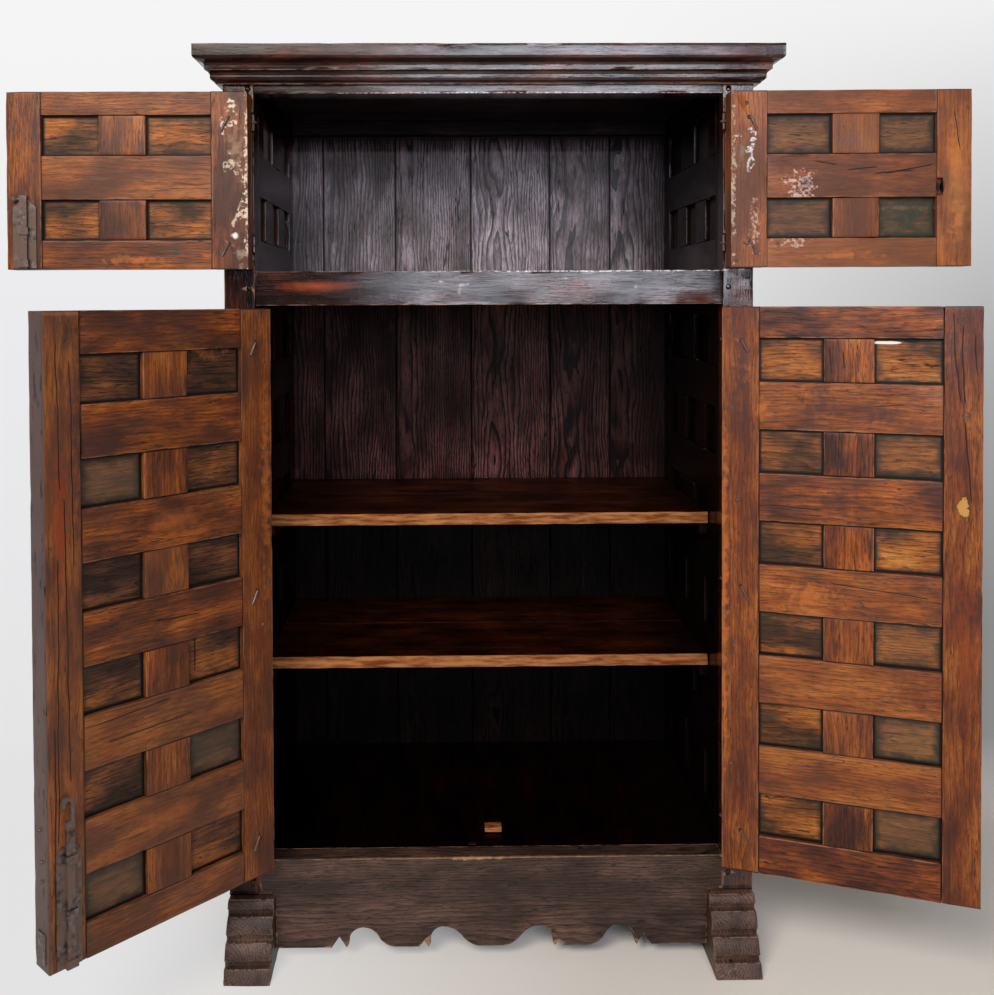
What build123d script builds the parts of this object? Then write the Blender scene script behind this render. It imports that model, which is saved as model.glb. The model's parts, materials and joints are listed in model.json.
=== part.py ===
from build123d import *
import math
import os

# Trastero: a cupboard in two tiers on sledge feet, with four framed and panelled doors.
# Case axes while modelling: x to the right, y back from the front face of the posts, z up.

# ---- Case --------------------------------------------------------------------------------
case_width = 1050.0
case_depth = 571.0
post_width = 60.0
post_depth = 60.0
base_rail_height = 71.0
lower_opening_height = 1108.0
mid_rail_height = 68.0
mid_rail_depth = 50.0
upper_opening_height = 350.0
top_rail_height = 38.0
top_rail_depth = 60.0
back_rail_depth = 30.0
back_mid_rail_height = 40.0

# ---- Joinery -----------------------------------------------------------------------------
tenon_length = 20.0
tenon_shoulder = 6.0
tenon_fit = 0.2
peg_radius = 5.0
peg_length = 38.0
peg_proud = 1.5
peg_inset = 11.0
peg_rise_in_top_rail = 9.0
peg_fit = 0.1

# ---- Feet --------------------------------------------------------------------------------
foot_height = 137.0
foot_width = 92.0
foot_top_reach = 16.0
foot_bottom_reach = 77.0
foot_top_band = 17.0
foot_middle_band = 30.0
foot_groove_height = 11.0
foot_groove_depth = 7.0
foot_band_bulge = 2.5

# ---- Scalloped apron ---------------------------------------------------------------------
apron_depth = 45.0
apron_clearance = 28.0
arch_height = 40.0
arch_drop = 32.0
tip_width = 5.0
inner_lobe = 20.0
inner_ogee = 78.0
inner_arch = 24.0
inner_notch_width = 18.0
inner_notch_height = 12.0
outer_lobe = 48.0
outer_ogee = 66.0
outer_arch = 27.0
outer_notch_width = 30.0
outer_notch_height = 22.0

# ---- Cornice -----------------------------------------------------------------------------
cornice_reach = 50.0
cornice_rise = 50.0
cornice_drop = 22.0
cornice_seat = 18.0
fascia_height = 22.0
bead_size = 8.0
bead_quirk = 5.0
cove_size = 7.0
fillet_height = 8.0
cornice_foot_reach = 12.0
cornice_foot_height = 4.0

# ---- Boards ------------------------------------------------------------------------------
board_thickness = 18.0
board_gap = 0.8
back_board_joints = (-390.0, -210.0, -21.0, 177.0, 328.0)
floor_board_joints = (-142.0, 160.0)
top_board_count = 4
shelf_thickness = 25.0
shelf_setback = 116.0
shelf_front_plank = 240.0
lower_shelf_height = 369.0
upper_shelf_height = 670.0
shelf_fit = 0.5
cleat_height = 25.0
cleat_width = 18.0
cleat_front = 125.0
cleat_back_gap = 36.0
chock_width = 39.0
chock_depth = 28.0
chock_height = 10.0
chock_offset = 8.0
chock_setback = 100.0

# ---- Side frames -------------------------------------------------------------------------
side_thickness = 40.0
side_base_rail_height = 121.0
side_middle_rail_height = 88.0
side_deck_rail_drop = 26.0
side_deck_rail_rise = 64.0
side_upper_rail_height = 86.0
side_top_rail_height = 57.0
side_lower_rows = 6
side_upper_rows = 2
side_narrow_panel = 95.0
side_wide_panel = 126.0
side_front_block = 68.0

# ---- Panels ------------------------------------------------------------------------------
panel_tongue = 7.0
panel_edge = 8.0
panel_recess = 12.0
panel_field_margin = 3.0
panel_field_bevel = 20.0
panel_field_depth = 6.0
groove_fit = 0.3

# ---- Doors -------------------------------------------------------------------------------
door_thickness = 50.0
hinge_gap = 2.0
meeting_gap = 4.0
door_foot_gap = 3.0
lower_door_head_gap = 5.0
upper_door_head_gap = 6.0
hinge_stile_width = 69.0
closing_stile_width = 66.0
muntin_width = 90.0
lower_muntin_centre = 232.0
upper_muntin_centre = 240.0
lower_door_rows = 6
upper_door_rows = 2
wide_end_rail = 74.0
narrow_end_rail = 60.0
lower_middle_rail = 92.0
upper_head_rail = 45.0
upper_middle_rail = 84.0
upper_foot_rail = 56.0
lower_left_open_angle = 134.0
lower_right_open_angle = 160.0
upper_left_open_angle = 180.0
upper_right_open_angle = 178.0

# ---- Slot in the closing stile of the upper right door --------------------------------------
slot_width = 11.0
slot_height = 32.0
slot_depth = 16.0
slot_height_from_foot = 154.0

# ---- Wire hinges: an upright pintle on the post, and an eye on the door that turns on it -----
pintle_stand_off = 4.0
pintle_radius = 3.0
pintle_half_length = 14.0
pintle_arm_radius = 2.5
pintle_arm_length = 30.0
pintle_arm_angle = 45.0
eye_wire_radius = 2.2
eye_fit = 0.3
eye_leg_angle = 35.0
clinch_length = 24.0
hinge_recess_fit = 0.8
leg_fit = 0.1
lower_hinge_foot_inset = 80.0
lower_hinge_head_inset = 65.0
upper_hinge_foot_inset = 50.0
upper_hinge_head_inset = 51.0

# ---- Slide bolts on the left doors -----------------------------------------------------------
bolt_plate_width = 44.0
bolt_plate_thickness = 3.0
bolt_plate_foot = 3.0
bolt_centre = 426.0
bolt_bar_width = 14.0
bolt_bar_thickness = 8.0
bolt_fit = 0.3
bolt_travel = 26.0
bolt_hole_fit = 1.5
staple_thickness = 3.0
staple_height = 14.0
lower_plate_height = 215.0
upper_plate_height = 138.0
lower_bar_height = 252.0
upper_bar_height = 142.0
lower_staple_heights = (12.0, 96.0, 187.0)
upper_staple_heights = (12.0, 74.0)
hook_width = 6.0
hook_neck = 28.0
hook_inner_radius = 5.0
hook_sweep = 215.0
knob_length = 17.0
knob_stem_radius = 3.0
knob_radius = 6.0

# ---- Levels and places that follow -----------------------------------------------------------
half_case = case_width / 2
half_opening = half_case - post_width
floor_top = foot_height + base_rail_height
lower_opening_top = floor_top + lower_opening_height
deck_top = lower_opening_top + mid_rail_height
upper_opening_top = deck_top + upper_opening_height
frame_top = upper_opening_top + top_rail_height
cornice_top = frame_top + cornice_rise
case_back = case_depth + board_thickness
side_span = case_depth - 2 * post_depth
door_width = half_opening - hinge_gap - meeting_gap / 2
lower_door_foot = floor_top + door_foot_gap
lower_door_height = lower_opening_top - lower_door_head_gap - lower_door_foot
upper_door_foot = deck_top + door_foot_gap
upper_door_height = upper_opening_top - upper_door_head_gap - upper_door_foot
lower_hinge_head = lower_door_height - lower_hinge_head_inset
lower_hinge_middle = (lower_hinge_foot_inset + lower_hinge_head) / 2
lower_hinge_heights = (lower_hinge_foot_inset, lower_hinge_middle, lower_hinge_head)
upper_hinge_heights = (upper_hinge_foot_inset, upper_door_height - upper_hinge_head_inset)
hinge_x = -half_opening
hinge_y = -pintle_stand_off

# The origin is on the floor, in the middle of the room that the cupboard takes with its doors
# as they stand open: halfway between the back and the nearest corner of the lower left door.
swing = math.radians(lower_left_open_angle)
swing_reach = (
    pintle_stand_off
    + (hinge_gap + door_width) * math.sin(swing)
    - (door_thickness + pintle_stand_off) * math.cos(swing)
)
front_y = (swing_reach - case_back) / 2


# ---- Helpers -----------------------------------------------------------------------------
def block(low, high):
    """A box between two corners."""
    size = [high[i] - low[i] for i in range(3)]
    middle = [(high[i] + low[i]) / 2 for i in range(3)]
    return Pos(*middle) * Box(*size)


def grown(low, high, margin):
    """The same box with a margin on every side."""
    return block([v - margin for v in low], [v + margin for v in high])


def rod(start, end, radius):
    """A round bar between two points."""
    axis = Vector(*end) - Vector(*start)
    return Plane(origin=start, z_dir=axis) * Cylinder(
        radius, axis.length, align=(Align.CENTER, Align.CENTER, Align.MIN)
    )


def tenoned(low, high, axis):
    """A rail along axis 0 or 1 with a tenon at each end, and the mortises for them."""
    across = 1 - axis
    third = (high[across] - low[across]) / 3
    rail = block(low, high)
    mortises = []
    near_end = (low[axis] - tenon_length, low[axis])
    far_end = (high[axis], high[axis] + tenon_length)
    for start, end in (near_end, far_end):
        tenon_low = [0, 0, low[2] + tenon_shoulder]
        tenon_high = [0, 0, high[2] - tenon_shoulder]
        tenon_low[axis], tenon_high[axis] = start, end
        tenon_low[across], tenon_high[across] = low[across] + third, high[across] - third
        rail += block(tenon_low, tenon_high)
        mortises.append(grown(tenon_low, tenon_high, tenon_fit))
    return rail, mortises


def mirrored(solids):
    """The same solids on the other side of the case."""
    return [mirror(solid, about=Plane.YZ) for solid in solids]


def panel(s_low, s_high, z_low, z_high, thickness):
    """A panel with a thin edge all round, flat inside and with a raised field outside."""
    edge_back = thickness - panel_recess
    edge_front = edge_back - panel_edge
    edge_low = (s_low - panel_tongue, edge_front, z_low - panel_tongue)
    edge_high = (s_high + panel_tongue, edge_back, z_high + panel_tongue)
    width = s_high - s_low - 2 * panel_field_margin
    height = z_high - z_low - 2 * panel_field_margin
    centre = ((s_low + s_high) / 2, edge_front, (z_low + z_high) / 2)
    base = Plane(origin=centre, x_dir=(1, 0, 0), z_dir=(0, -1, 0))
    field_base = base * Rectangle(width, height)
    field_top = base.offset(edge_front - panel_field_depth) * Rectangle(
        width - 2 * panel_field_bevel, height - 2 * panel_field_bevel
    )
    board = block(edge_low, edge_high) + loft([field_base, field_top])
    return board, grown(edge_low, edge_high, groove_fit)


def panel_grid(span_low, span_high, rails, rows, thickness):
    """Rails between two uprights, short muntins between the panels of each row, and the panels.

    rails lists the low and high edge of each rail, from the bottom up, and rows lists the low
    and high edge of each panel in every row between two rails.
    """
    boards = []
    grooves = []
    muntins = []
    for (_, z_low), (z_high, _), row in zip(rails[:-1], rails[1:], rows):
        edges = [span_low]
        for s_low, s_high in row:
            board, groove = panel(s_low, s_high, z_low, z_high, thickness)
            boards.append(board)
            grooves.append(groove)
            edges += [s_low, s_high]
        edges.append(span_high)
        for start, end in zip(edges[::2], edges[1::2]):
            if end > start:
                muntins.append(block((start, 0, z_low), (end, thickness, z_high)))
    bars = []
    mortises = []
    for z_low, z_high in rails:
        bar, ends = tenoned((span_low, 0, z_low), (span_high, thickness, z_high), 0)
        bars.append(bar - grooves)
        mortises += ends
    muntins = [muntin - grooves for muntin in muntins]
    return bars, muntins, boards, mortises, grooves


def stacked(bottom, rail_heights, top):
    """Low and high edges of rails that stand with equal rows between them."""
    row_height = (top - bottom - sum(rail_heights)) / (len(rail_heights) - 1)
    levels = []
    z = bottom
    for height in rail_heights:
        levels.append((z, z + height))
        z += height + row_height
    return levels


# ---- Feet --------------------------------------------------------------------------------
def foot_face():
    """Front outline of a foot: bulging bands with a groove between each two."""
    band_heights = [foot_top_band, foot_middle_band, foot_middle_band]
    spread = (foot_bottom_reach - foot_top_reach) / foot_height
    z = foot_height
    edges = []
    corner = (-foot_top_reach, foot_height)
    for height in band_heights:
        low = z - height
        reach = foot_top_reach + spread * (foot_height - low)
        middle = ((corner[0] - reach) / 2 - foot_band_bulge, (z + low) / 2)
        inside = foot_groove_depth - reach
        groove_low = low - foot_groove_height
        next_reach = foot_top_reach + spread * (foot_height - groove_low)
        edges.append(ThreePointArc(corner, middle, (-reach, low)))
        edges.append(
            Polyline((-reach, low), (inside, low), (inside, groove_low), (-next_reach, groove_low))
        )
        corner = (-next_reach, groove_low)
        z = groove_low
    edges.append(Line(corner, (-foot_bottom_reach, 0)))
    back_and_top = Polyline(
        (-foot_bottom_reach, 0), (case_back, 0), (case_back, foot_height), (-foot_top_reach, foot_height)
    )
    return make_face(Plane.YZ * Curve(edges + [back_and_top]))


def post_foot_tenon(side, y_low, margin):
    """Tenon at the foot of a post, or its mortise with a margin."""
    inset = post_width / 3
    low = (side * half_case - side * inset, y_low + inset, foot_height - 2 * tenon_length)
    high = (side * half_opening + side * inset, y_low + post_depth - inset, foot_height)
    x_low, x_high = sorted((low[0], high[0]))
    return grown((x_low, low[1], low[2]), (x_high, high[1], high[2]), margin)


def make_foot():
    """Left foot, with mortises for the two posts that stand on it."""
    foot = Pos(-half_case, 0, 0) * extrude(foot_face(), amount=foot_width, dir=(1, 0, 0))
    for y_low in (0, case_depth - post_depth):
        foot -= post_foot_tenon(-1, y_low, tenon_fit)
    return foot


# ---- Apron -------------------------------------------------------------------------------
def scallop(x, lobe, ogee, arch, notch_width, notch_height):
    """One lobe, an ogee up to an arch, a steep drop and a small notch; returns its end too."""
    low = apron_clearance
    top = low + arch_height
    foot_of_arch = top - arch_drop
    rise = x + lobe
    crest = rise + ogee
    inflection = ((rise + crest) / 2, (low + top) / 2)
    tip = crest + arch
    notch = tip + tip_width
    edges = [
        Line((x, low), (rise, low)),
        TangentArc((rise, low), inflection, tangent=(1, 0)),
        TangentArc((crest, top), inflection, tangent=(-1, 0)),
        TangentArc((crest, top), (tip, foot_of_arch), tangent=(1, 0)),
        Polyline(
            (tip, foot_of_arch),
            (notch, low),
            (notch + notch_width / 2, low + notch_height),
            (notch + notch_width, low),
        ),
    ]
    return edges, notch + notch_width


def make_apron():
    """The base rail and the scalloped board under it, in one plank."""
    inner, x = scallop(
        0, inner_lobe, inner_ogee, inner_arch, inner_notch_width, inner_notch_height
    )
    outer, x = scallop(
        x, outer_lobe, outer_ogee, outer_arch, outer_notch_width, outer_notch_height
    )
    foot_side = half_case - foot_width
    closing = Polyline(
        (x, apron_clearance),
        (foot_side, apron_clearance),
        (foot_side, foot_height),
        (half_opening, foot_height),
        (half_opening, floor_top),
        (0, floor_top),
        (0, apron_clearance),
    )
    face = make_face(Plane.XZ * Curve(inner + outer + [closing]))
    half = extrude(face, amount=apron_depth, dir=(0, 1, 0))
    tenons, mortises = tenoned(
        (-half_opening, 0, foot_height), (half_opening, apron_depth, floor_top), 0
    )
    return half + mirror(half, about=Plane.YZ) + tenons, mortises


# ---- Cornice -----------------------------------------------------------------------------
def cornice_outline():
    """Section of the cornice: reach in front of the case, and height."""
    top = cornice_top
    fascia_low = top - fascia_height
    bead_end = (cornice_reach - bead_size, fascia_low - bead_size)
    cove_start = (bead_end[0] - bead_quirk, bead_end[1] - bead_quirk / 2)
    cove_end = (cove_start[0] - cove_size, cove_start[1] - cove_size)
    fillet_end = (cove_end[0], cove_end[1] - fillet_height)
    base = frame_top - cornice_drop
    ogee_end = (cornice_foot_reach, base + cornice_foot_height)
    middle = ((fillet_end[0] + ogee_end[0]) / 2, (fillet_end[1] + ogee_end[1]) / 2)
    return [
        Polyline((cornice_reach, top), (cornice_reach, fascia_low)),
        TangentArc((cornice_reach, fascia_low), bead_end, tangent=(0, -1)),
        Line(bead_end, cove_start),
        TangentArc(cove_start, cove_end, tangent=(-1, 0)),
        Line(cove_end, fillet_end),
        TangentArc(fillet_end, middle, tangent=(-1, 0)),
        TangentArc(ogee_end, middle, tangent=(1, 0)),
        Polyline(
            ogee_end,
            (cornice_foot_reach, base),
            (0, base),
            (0, frame_top),
            (-cornice_seat, frame_top),
            (-cornice_seat, top),
            (cornice_reach, top),
        ),
    ]


def make_cornice():
    """Front moulding and left return, mitred where they meet."""
    section = make_face(Curve(cornice_outline()))
    outer = half_case + cornice_reach
    inner = half_case - cornice_seat
    front_plane = Plane(origin=(0, 0, 0), x_dir=(0, -1, 0), z_dir=(-1, 0, 0))
    front_bar = extrude(front_plane * section, amount=outer, both=True)
    front_plan = make_face(
        Polyline(
            (-outer, -cornice_reach),
            (outer, -cornice_reach),
            (inner, cornice_seat),
            (-inner, cornice_seat),
            close=True,
        )
    )
    side_plane = Plane(origin=(-half_case, -cornice_reach, 0), x_dir=(-1, 0, 0), z_dir=(0, 1, 0))
    side_bar = extrude(side_plane * section, amount=cornice_reach + case_back)
    side_plan = make_face(
        Polyline(
            (-outer, -cornice_reach),
            (-inner, cornice_seat),
            (-inner, case_back),
            (-outer, case_back),
            close=True,
        )
    )
    front = front_bar & extrude(front_plan, amount=cornice_top)
    side = side_bar & extrude(side_plan, amount=cornice_top)
    return front, side


# ---- Boards ------------------------------------------------------------------------------
def planks_across(edges, y_low, y_high, z_low, z_high):
    """Boards side by side, with their long edges at the given places."""
    half_gap = board_gap / 2
    return [
        block((start + half_gap, y_low, z_low), (end - half_gap, y_high, z_high))
        for start, end in zip(edges[:-1], edges[1:])
    ]


def planks_back(x_half, y_edges, z_low, z_high):
    """Boards that run from side to side, one behind another."""
    half_gap = board_gap / 2
    return [
        block((-x_half, start + half_gap, z_low), (x_half, end - half_gap, z_high))
        for start, end in zip(y_edges[:-1], y_edges[1:])
    ]


def make_shelf(height):
    """A shelf of two planks, set back from the doors, with its top at a height over the floor."""
    top = floor_top + height
    joint = shelf_setback + shelf_front_plank
    edges = (shelf_setback, joint, case_depth - shelf_fit)
    return planks_back(half_opening - shelf_fit, edges, top - shelf_thickness, top)


def cleats_under(level):
    """The pair of cleats under a board that lies at a level."""
    cleat_back = case_depth - back_rail_depth - cleat_back_gap
    left = block(
        (-half_opening, cleat_front, level - cleat_height),
        (cleat_width - half_opening, cleat_back, level),
    )
    return [left] + mirrored([left])


def bolt_hole(level):
    """Hole under the bolt of a closed left door, down through the board below it."""
    x = hinge_x + hinge_gap + bolt_centre
    y = door_thickness + bolt_plate_thickness + bolt_fit + bolt_bar_thickness / 2
    half_width = bolt_bar_width / 2 + bolt_hole_fit
    half_depth = bolt_bar_thickness / 2 + bolt_hole_fit
    return block(
        (x - half_width, y - half_depth, level - bolt_travel),
        (x + half_width, y + half_depth, level + board_thickness),
    )


# ---- Hinges ------------------------------------------------------------------------------
def hinge_axis(z):
    """Point on the left doors' hinge axis at a height."""
    return (hinge_x, hinge_y, z)


def make_pintle(z, margin=0.0):
    """Upright pin beside a left door, with two arms into the post; a margin gives its holes."""
    angle = math.radians(pintle_arm_angle)
    reach = (-math.sin(angle) * pintle_arm_length, math.cos(angle) * pintle_arm_length)
    low, high = z - pintle_half_length, z + pintle_half_length
    arm_radius = pintle_arm_radius + margin
    pintle = rod(hinge_axis(low), hinge_axis(high), pintle_radius + margin)
    for level in (low, high):
        end = (hinge_x + reach[0], hinge_y + reach[1], level)
        pintle += rod(hinge_axis(level), end, arm_radius)
        pintle += Pos(*hinge_axis(level)) * Sphere(pintle_radius + margin)
    return pintle


def eye_leg(z, margin):
    """Leg of a door's hinge eye, through the closed door to its inner face."""
    angle = math.radians(eye_leg_angle)
    length = (door_thickness + eye_wire_radius + pintle_stand_off) / math.cos(angle)
    start_radius = pintle_radius + eye_fit + eye_wire_radius
    start = (hinge_x + start_radius * math.sin(angle), hinge_y + start_radius * math.cos(angle), z)
    end = (hinge_x + length * math.sin(angle), hinge_y + length * math.cos(angle), z)
    return rod(start, end, eye_wire_radius + margin), end


def make_eye(z):
    """Ring round the pintle, its leg, and the end bent over on the inner face of the door."""
    ring = Pos(*hinge_axis(z)) * Torus(pintle_radius + eye_fit + eye_wire_radius, eye_wire_radius)
    leg, end = eye_leg(z, 0)
    tail_end = (end[0] + clinch_length / 2, end[1], end[2] - clinch_length)
    return ring + leg + Pos(*end) * Sphere(eye_wire_radius) + rod(end, tail_end, eye_wire_radius)


def hinge_recess(z):
    """Room round a hinge, cut from the post and from the door."""
    radius = pintle_radius + eye_fit + 2 * eye_wire_radius + hinge_recess_fit
    half_height = pintle_half_length + pintle_radius + hinge_recess_fit
    return rod(hinge_axis(z - half_height), hinge_axis(z + half_height), radius)


# ---- Bolts -------------------------------------------------------------------------------
def make_bolt(foot, plate_height, bar_height, staple_heights, handle):
    """Plate, staples and bar of a slide bolt on the inner face of a closed left door."""
    x = hinge_x + hinge_gap + bolt_centre
    plate_back = door_thickness + bolt_plate_thickness
    bar_front = plate_back + bolt_fit
    bar_back = bar_front + bolt_bar_thickness
    half_plate = bolt_plate_width / 2
    half_bar = bolt_bar_width / 2
    plate_low = foot + bolt_plate_foot
    plate_high = plate_low + plate_height
    outline = Polyline(
        (x - half_plate, plate_low),
        (x + half_plate, plate_low),
        (x + half_plate, plate_high - half_plate),
        (x, plate_high),
        (x - half_plate, plate_high - half_plate),
        close=True,
    )
    plate = extrude(make_face(Plane.XZ * outline), amount=bolt_plate_thickness, dir=(0, 1, 0))
    plate = Pos(0, door_thickness, 0) * plate
    staples = []
    inside = half_bar + bolt_fit
    outside = inside + staple_thickness
    for height in staple_heights:
        low = foot + height - staple_height / 2
        high = low + staple_height
        crown = bar_back + bolt_fit
        strap = block(
            (x - outside, plate_back, low), (x + outside, crown + staple_thickness, high)
        )
        strap -= block((x - inside, plate_back, low), (x + inside, crown, high))
        staples.append(strap)
    bar_top = foot + bar_height
    bar = block((x - half_bar, bar_front, plate_low), (x + half_bar, bar_back, bar_top))
    return [plate], staples, bar + handle(x, (bar_front + bar_back) / 2, bar_top)


def hook_handle(x, y, z):
    """Top of the lower bolt: a narrow neck that curls over towards the edge of the door."""
    x_low = x - bolt_bar_width / 2
    half_thickness = bolt_bar_thickness / 2
    curl_level = z + hook_neck
    neck = block((x_low, y - half_thickness, z), (x_low + hook_width, y + half_thickness, curl_level))
    outer = hook_inner_radius + hook_width
    reach = 2 * outer
    end = math.radians(180 - hook_sweep)
    end_point = (reach * math.cos(end), reach * math.sin(end))
    below = make_face(Polyline((0, 0), (-reach, 0), (-reach, -reach), end_point, close=True))
    curl = Circle(outer) - Circle(hook_inner_radius) - below
    origin = (x_low + outer, y + half_thickness, curl_level)
    plane = Plane(origin=origin, x_dir=(1, 0, 0), z_dir=(0, -1, 0))
    return neck + extrude(plane * curl, amount=bolt_bar_thickness)


def knob_handle(x, y, z):
    """Top of the upper bolt: a short stem with a ball, turned to the edge of the door."""
    level = z - bolt_bar_width / 2
    end = (x + knob_length, y + knob_stem_radius, level)
    return rod((x, y, level), end, knob_stem_radius) + Pos(*end) * Sphere(knob_radius)


# ---- Doors -------------------------------------------------------------------------------
def make_door(foot, height, rail_heights, muntin_centre, hinge_heights):
    """A closed left door as named groups of solids, with its feet at a level."""
    inner_low = hinge_stile_width
    inner_high = door_width - closing_stile_width
    row = [
        (inner_low, muntin_centre - muntin_width / 2),
        (muntin_centre + muntin_width / 2, inner_high),
    ]
    levels = stacked(0, rail_heights, height)
    rows = [row] * (len(levels) - 1)
    bars, muntins, boards, mortises, grooves = panel_grid(
        inner_low, inner_high, levels, rows, door_thickness
    )
    cuts = mortises + grooves
    hinge_stile = block((0, 0, 0), (inner_low, door_thickness, height)) - cuts
    closing_stile = block((inner_high, 0, 0), (door_width, door_thickness, height)) - cuts
    closed = Pos(hinge_x + hinge_gap, 0, foot)
    hinge_levels = [foot + h for h in hinge_heights]
    recesses = [hinge_recess(z) for z in hinge_levels]
    legs = [eye_leg(z, leg_fit)[0] for z in hinge_levels]
    return {
        "hinge_stile": [closed * hinge_stile - recesses - legs],
        "closing_stile": [closed * closing_stile],
        "rails": [closed * bar for bar in bars],
        "muntins": [closed * muntin for muntin in muntins],
        "panels": [closed * board for board in boards],
        "hinge_eyes": [make_eye(z) for z in hinge_levels],
    }


def swung(solids, open_angle):
    """Left-hand solids turned from closed to an angle about the hinge."""
    return [solid.rotate(Axis(hinge_axis(0), (0, 0, 1)), -open_angle) for solid in solids]


# ---- Assembly ----------------------------------------------------------------------------
nodes = {}

left_foot = make_foot()
nodes["left_foot"] = [left_foot]
nodes["right_foot"] = mirrored([left_foot])

# Rails across the front and back.
top_rail, top_mortises = tenoned(
    (-half_opening, 0, upper_opening_top), (half_opening, top_rail_depth, frame_top), 0
)
mid_rail, mid_mortises = tenoned(
    (-half_opening, 0, lower_opening_top), (half_opening, mid_rail_depth, deck_top), 0
)
apron, apron_mortises = make_apron()
back_front = case_depth - back_rail_depth
deck_low = deck_top - board_thickness
floor_low = floor_top - board_thickness
back_levels = (
    (foot_height, floor_low),
    (deck_low - back_mid_rail_height, deck_low),
    (upper_opening_top, frame_top),
)
back_rails = []
back_mortises = []
for z_low, z_high in back_levels:
    rail, ends = tenoned((-half_opening, back_front, z_low), (half_opening, case_depth, z_high), 0)
    back_rails.append(rail)
    back_mortises += ends
nodes["back_rails"] = back_rails

# Side frames, modelled flat: s runs forward from the back post, and depth in from outside.
deck_rail = (lower_opening_top - side_deck_rail_drop, deck_top + side_deck_rail_rise)
lower_rails = [side_base_rail_height] + [side_middle_rail_height] * (side_lower_rows - 1)
lower_rails.append(deck_rail[1] - deck_rail[0])
lower_levels = stacked(foot_height, lower_rails, deck_rail[1])
upper_rails = [deck_rail[1] - deck_rail[0]] + [side_upper_rail_height] * (side_upper_rows - 1)
upper_rails.append(side_top_rail_height)
side_levels = lower_levels + stacked(deck_rail[0], upper_rails, frame_top)[1:]
block_width = (side_span - 3 * side_narrow_panel) / 2
narrow_row = [
    (i * (side_narrow_panel + block_width), i * (side_narrow_panel + block_width) + side_narrow_panel)
    for i in range(3)
]
front_panel_high = side_span - side_front_block
wide_row = [(0, side_wide_panel), (front_panel_high - side_wide_panel, front_panel_high)]
side_rows = [wide_row if i % 2 else narrow_row for i in range(len(side_levels) - 1)]
side_bars, side_muntins, side_boards, side_mortises, side_grooves = panel_grid(
    0, side_span, side_levels, side_rows, side_thickness
)
side_place = Pos(-half_opening - side_thickness, case_depth - post_depth, 0) * Rot(0, 0, -90)
for name, solids in (
    ("side_rails", side_bars),
    ("side_muntins", side_muntins),
    ("side_panels", side_boards),
):
    placed = [side_place * solid for solid in solids]
    nodes["left_" + name] = placed
    nodes["right_" + name] = mirrored(placed)

# Pegs through the front posts, into the tenons of the front rails.
peg_x = half_opening + peg_inset
peg_levels = (
    (foot_height + floor_top) / 2,
    (lower_opening_top + deck_top) / 2,
    upper_opening_top + peg_rise_in_top_rail,
)
pegs = []
peg_holes = []
for side in (-1, 1):
    for z in peg_levels:
        pegs.append(rod((side * peg_x, -peg_proud, z), (side * peg_x, peg_length, z), peg_radius))
        hole_end = (side * peg_x, peg_length + peg_fit, z)
        peg_holes.append(rod((side * peg_x, -peg_length, z), hole_end, peg_radius + peg_fit))
nodes["frame_pegs"] = pegs
nodes["top_rail"] = [top_rail - peg_holes]
nodes["mid_rail"] = [mid_rail - peg_holes]
nodes["apron"] = [apron - peg_holes]

# Posts, with mortises for the rails and room for the hinges.
lower_hinge_levels = [lower_door_foot + h for h in lower_hinge_heights]
upper_hinge_levels = [upper_door_foot + h for h in upper_hinge_heights]
hinge_levels = lower_hinge_levels + upper_hinge_levels
side_cuts = [side_place * cut for cut in side_mortises + side_grooves]
front_cuts = top_mortises + mid_mortises + apron_mortises + peg_holes + side_cuts
front_cuts += [hinge_recess(z) for z in hinge_levels]
front_cuts += [make_pintle(z, leg_fit) for z in hinge_levels]
for name, y_low, cuts in (
    ("front", 0, front_cuts),
    ("back", case_depth - post_depth, back_mortises + side_cuts),
):
    post = block((-half_case, y_low, foot_height), (-half_opening, y_low + post_depth, frame_top))
    post = post + post_foot_tenon(-1, y_low, 0) - cuts
    nodes[name + "_left_post"] = [post]
    nodes[name + "_right_post"] = mirrored([post])

pintles = [make_pintle(z) for z in hinge_levels]
nodes["hinge_pintles"] = pintles + mirrored(pintles)

# Cornice and boards.
cornice_front, cornice_left = make_cornice()
nodes["cornice_front"] = [cornice_front]
nodes["cornice_left"] = [cornice_left]
nodes["cornice_right"] = mirrored([cornice_left])
top_edges = [
    cornice_seat + i * (case_back - cornice_seat) / top_board_count for i in range(top_board_count + 1)
]
nodes["top_boards"] = planks_back(
    half_case - cornice_seat - shelf_fit, top_edges, frame_top, frame_top + board_thickness
)
back_edges = (-half_case,) + back_board_joints + (half_case,)
nodes["back_boards"] = planks_across(back_edges, case_depth, case_back, foot_height, frame_top)
floor_edges = (-half_opening,) + floor_board_joints + (half_opening,)
floor_boards = planks_across(floor_edges, apron_depth, case_depth, floor_low, floor_top)
deck_boards = planks_across(floor_edges, mid_rail_depth, case_depth, deck_low, deck_top)
nodes["floor_boards"] = [board - bolt_hole(floor_top) for board in floor_boards]
nodes["deck_boards"] = [board - bolt_hole(deck_top) for board in deck_boards]
nodes["lower_shelf"] = make_shelf(lower_shelf_height)
nodes["upper_shelf"] = make_shelf(upper_shelf_height)
shelf_levels = [floor_top + h - shelf_thickness for h in (lower_shelf_height, upper_shelf_height)]
cleats = []
for level in [floor_low, deck_low] + shelf_levels:
    cleats += cleats_under(level)
nodes["cleats"] = cleats
nodes["floor_chock"] = [
    block(
        (chock_offset - chock_width / 2, chock_setback, floor_top),
        (chock_offset + chock_width / 2, chock_setback + chock_depth, floor_top + chock_height),
    )
]

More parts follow.
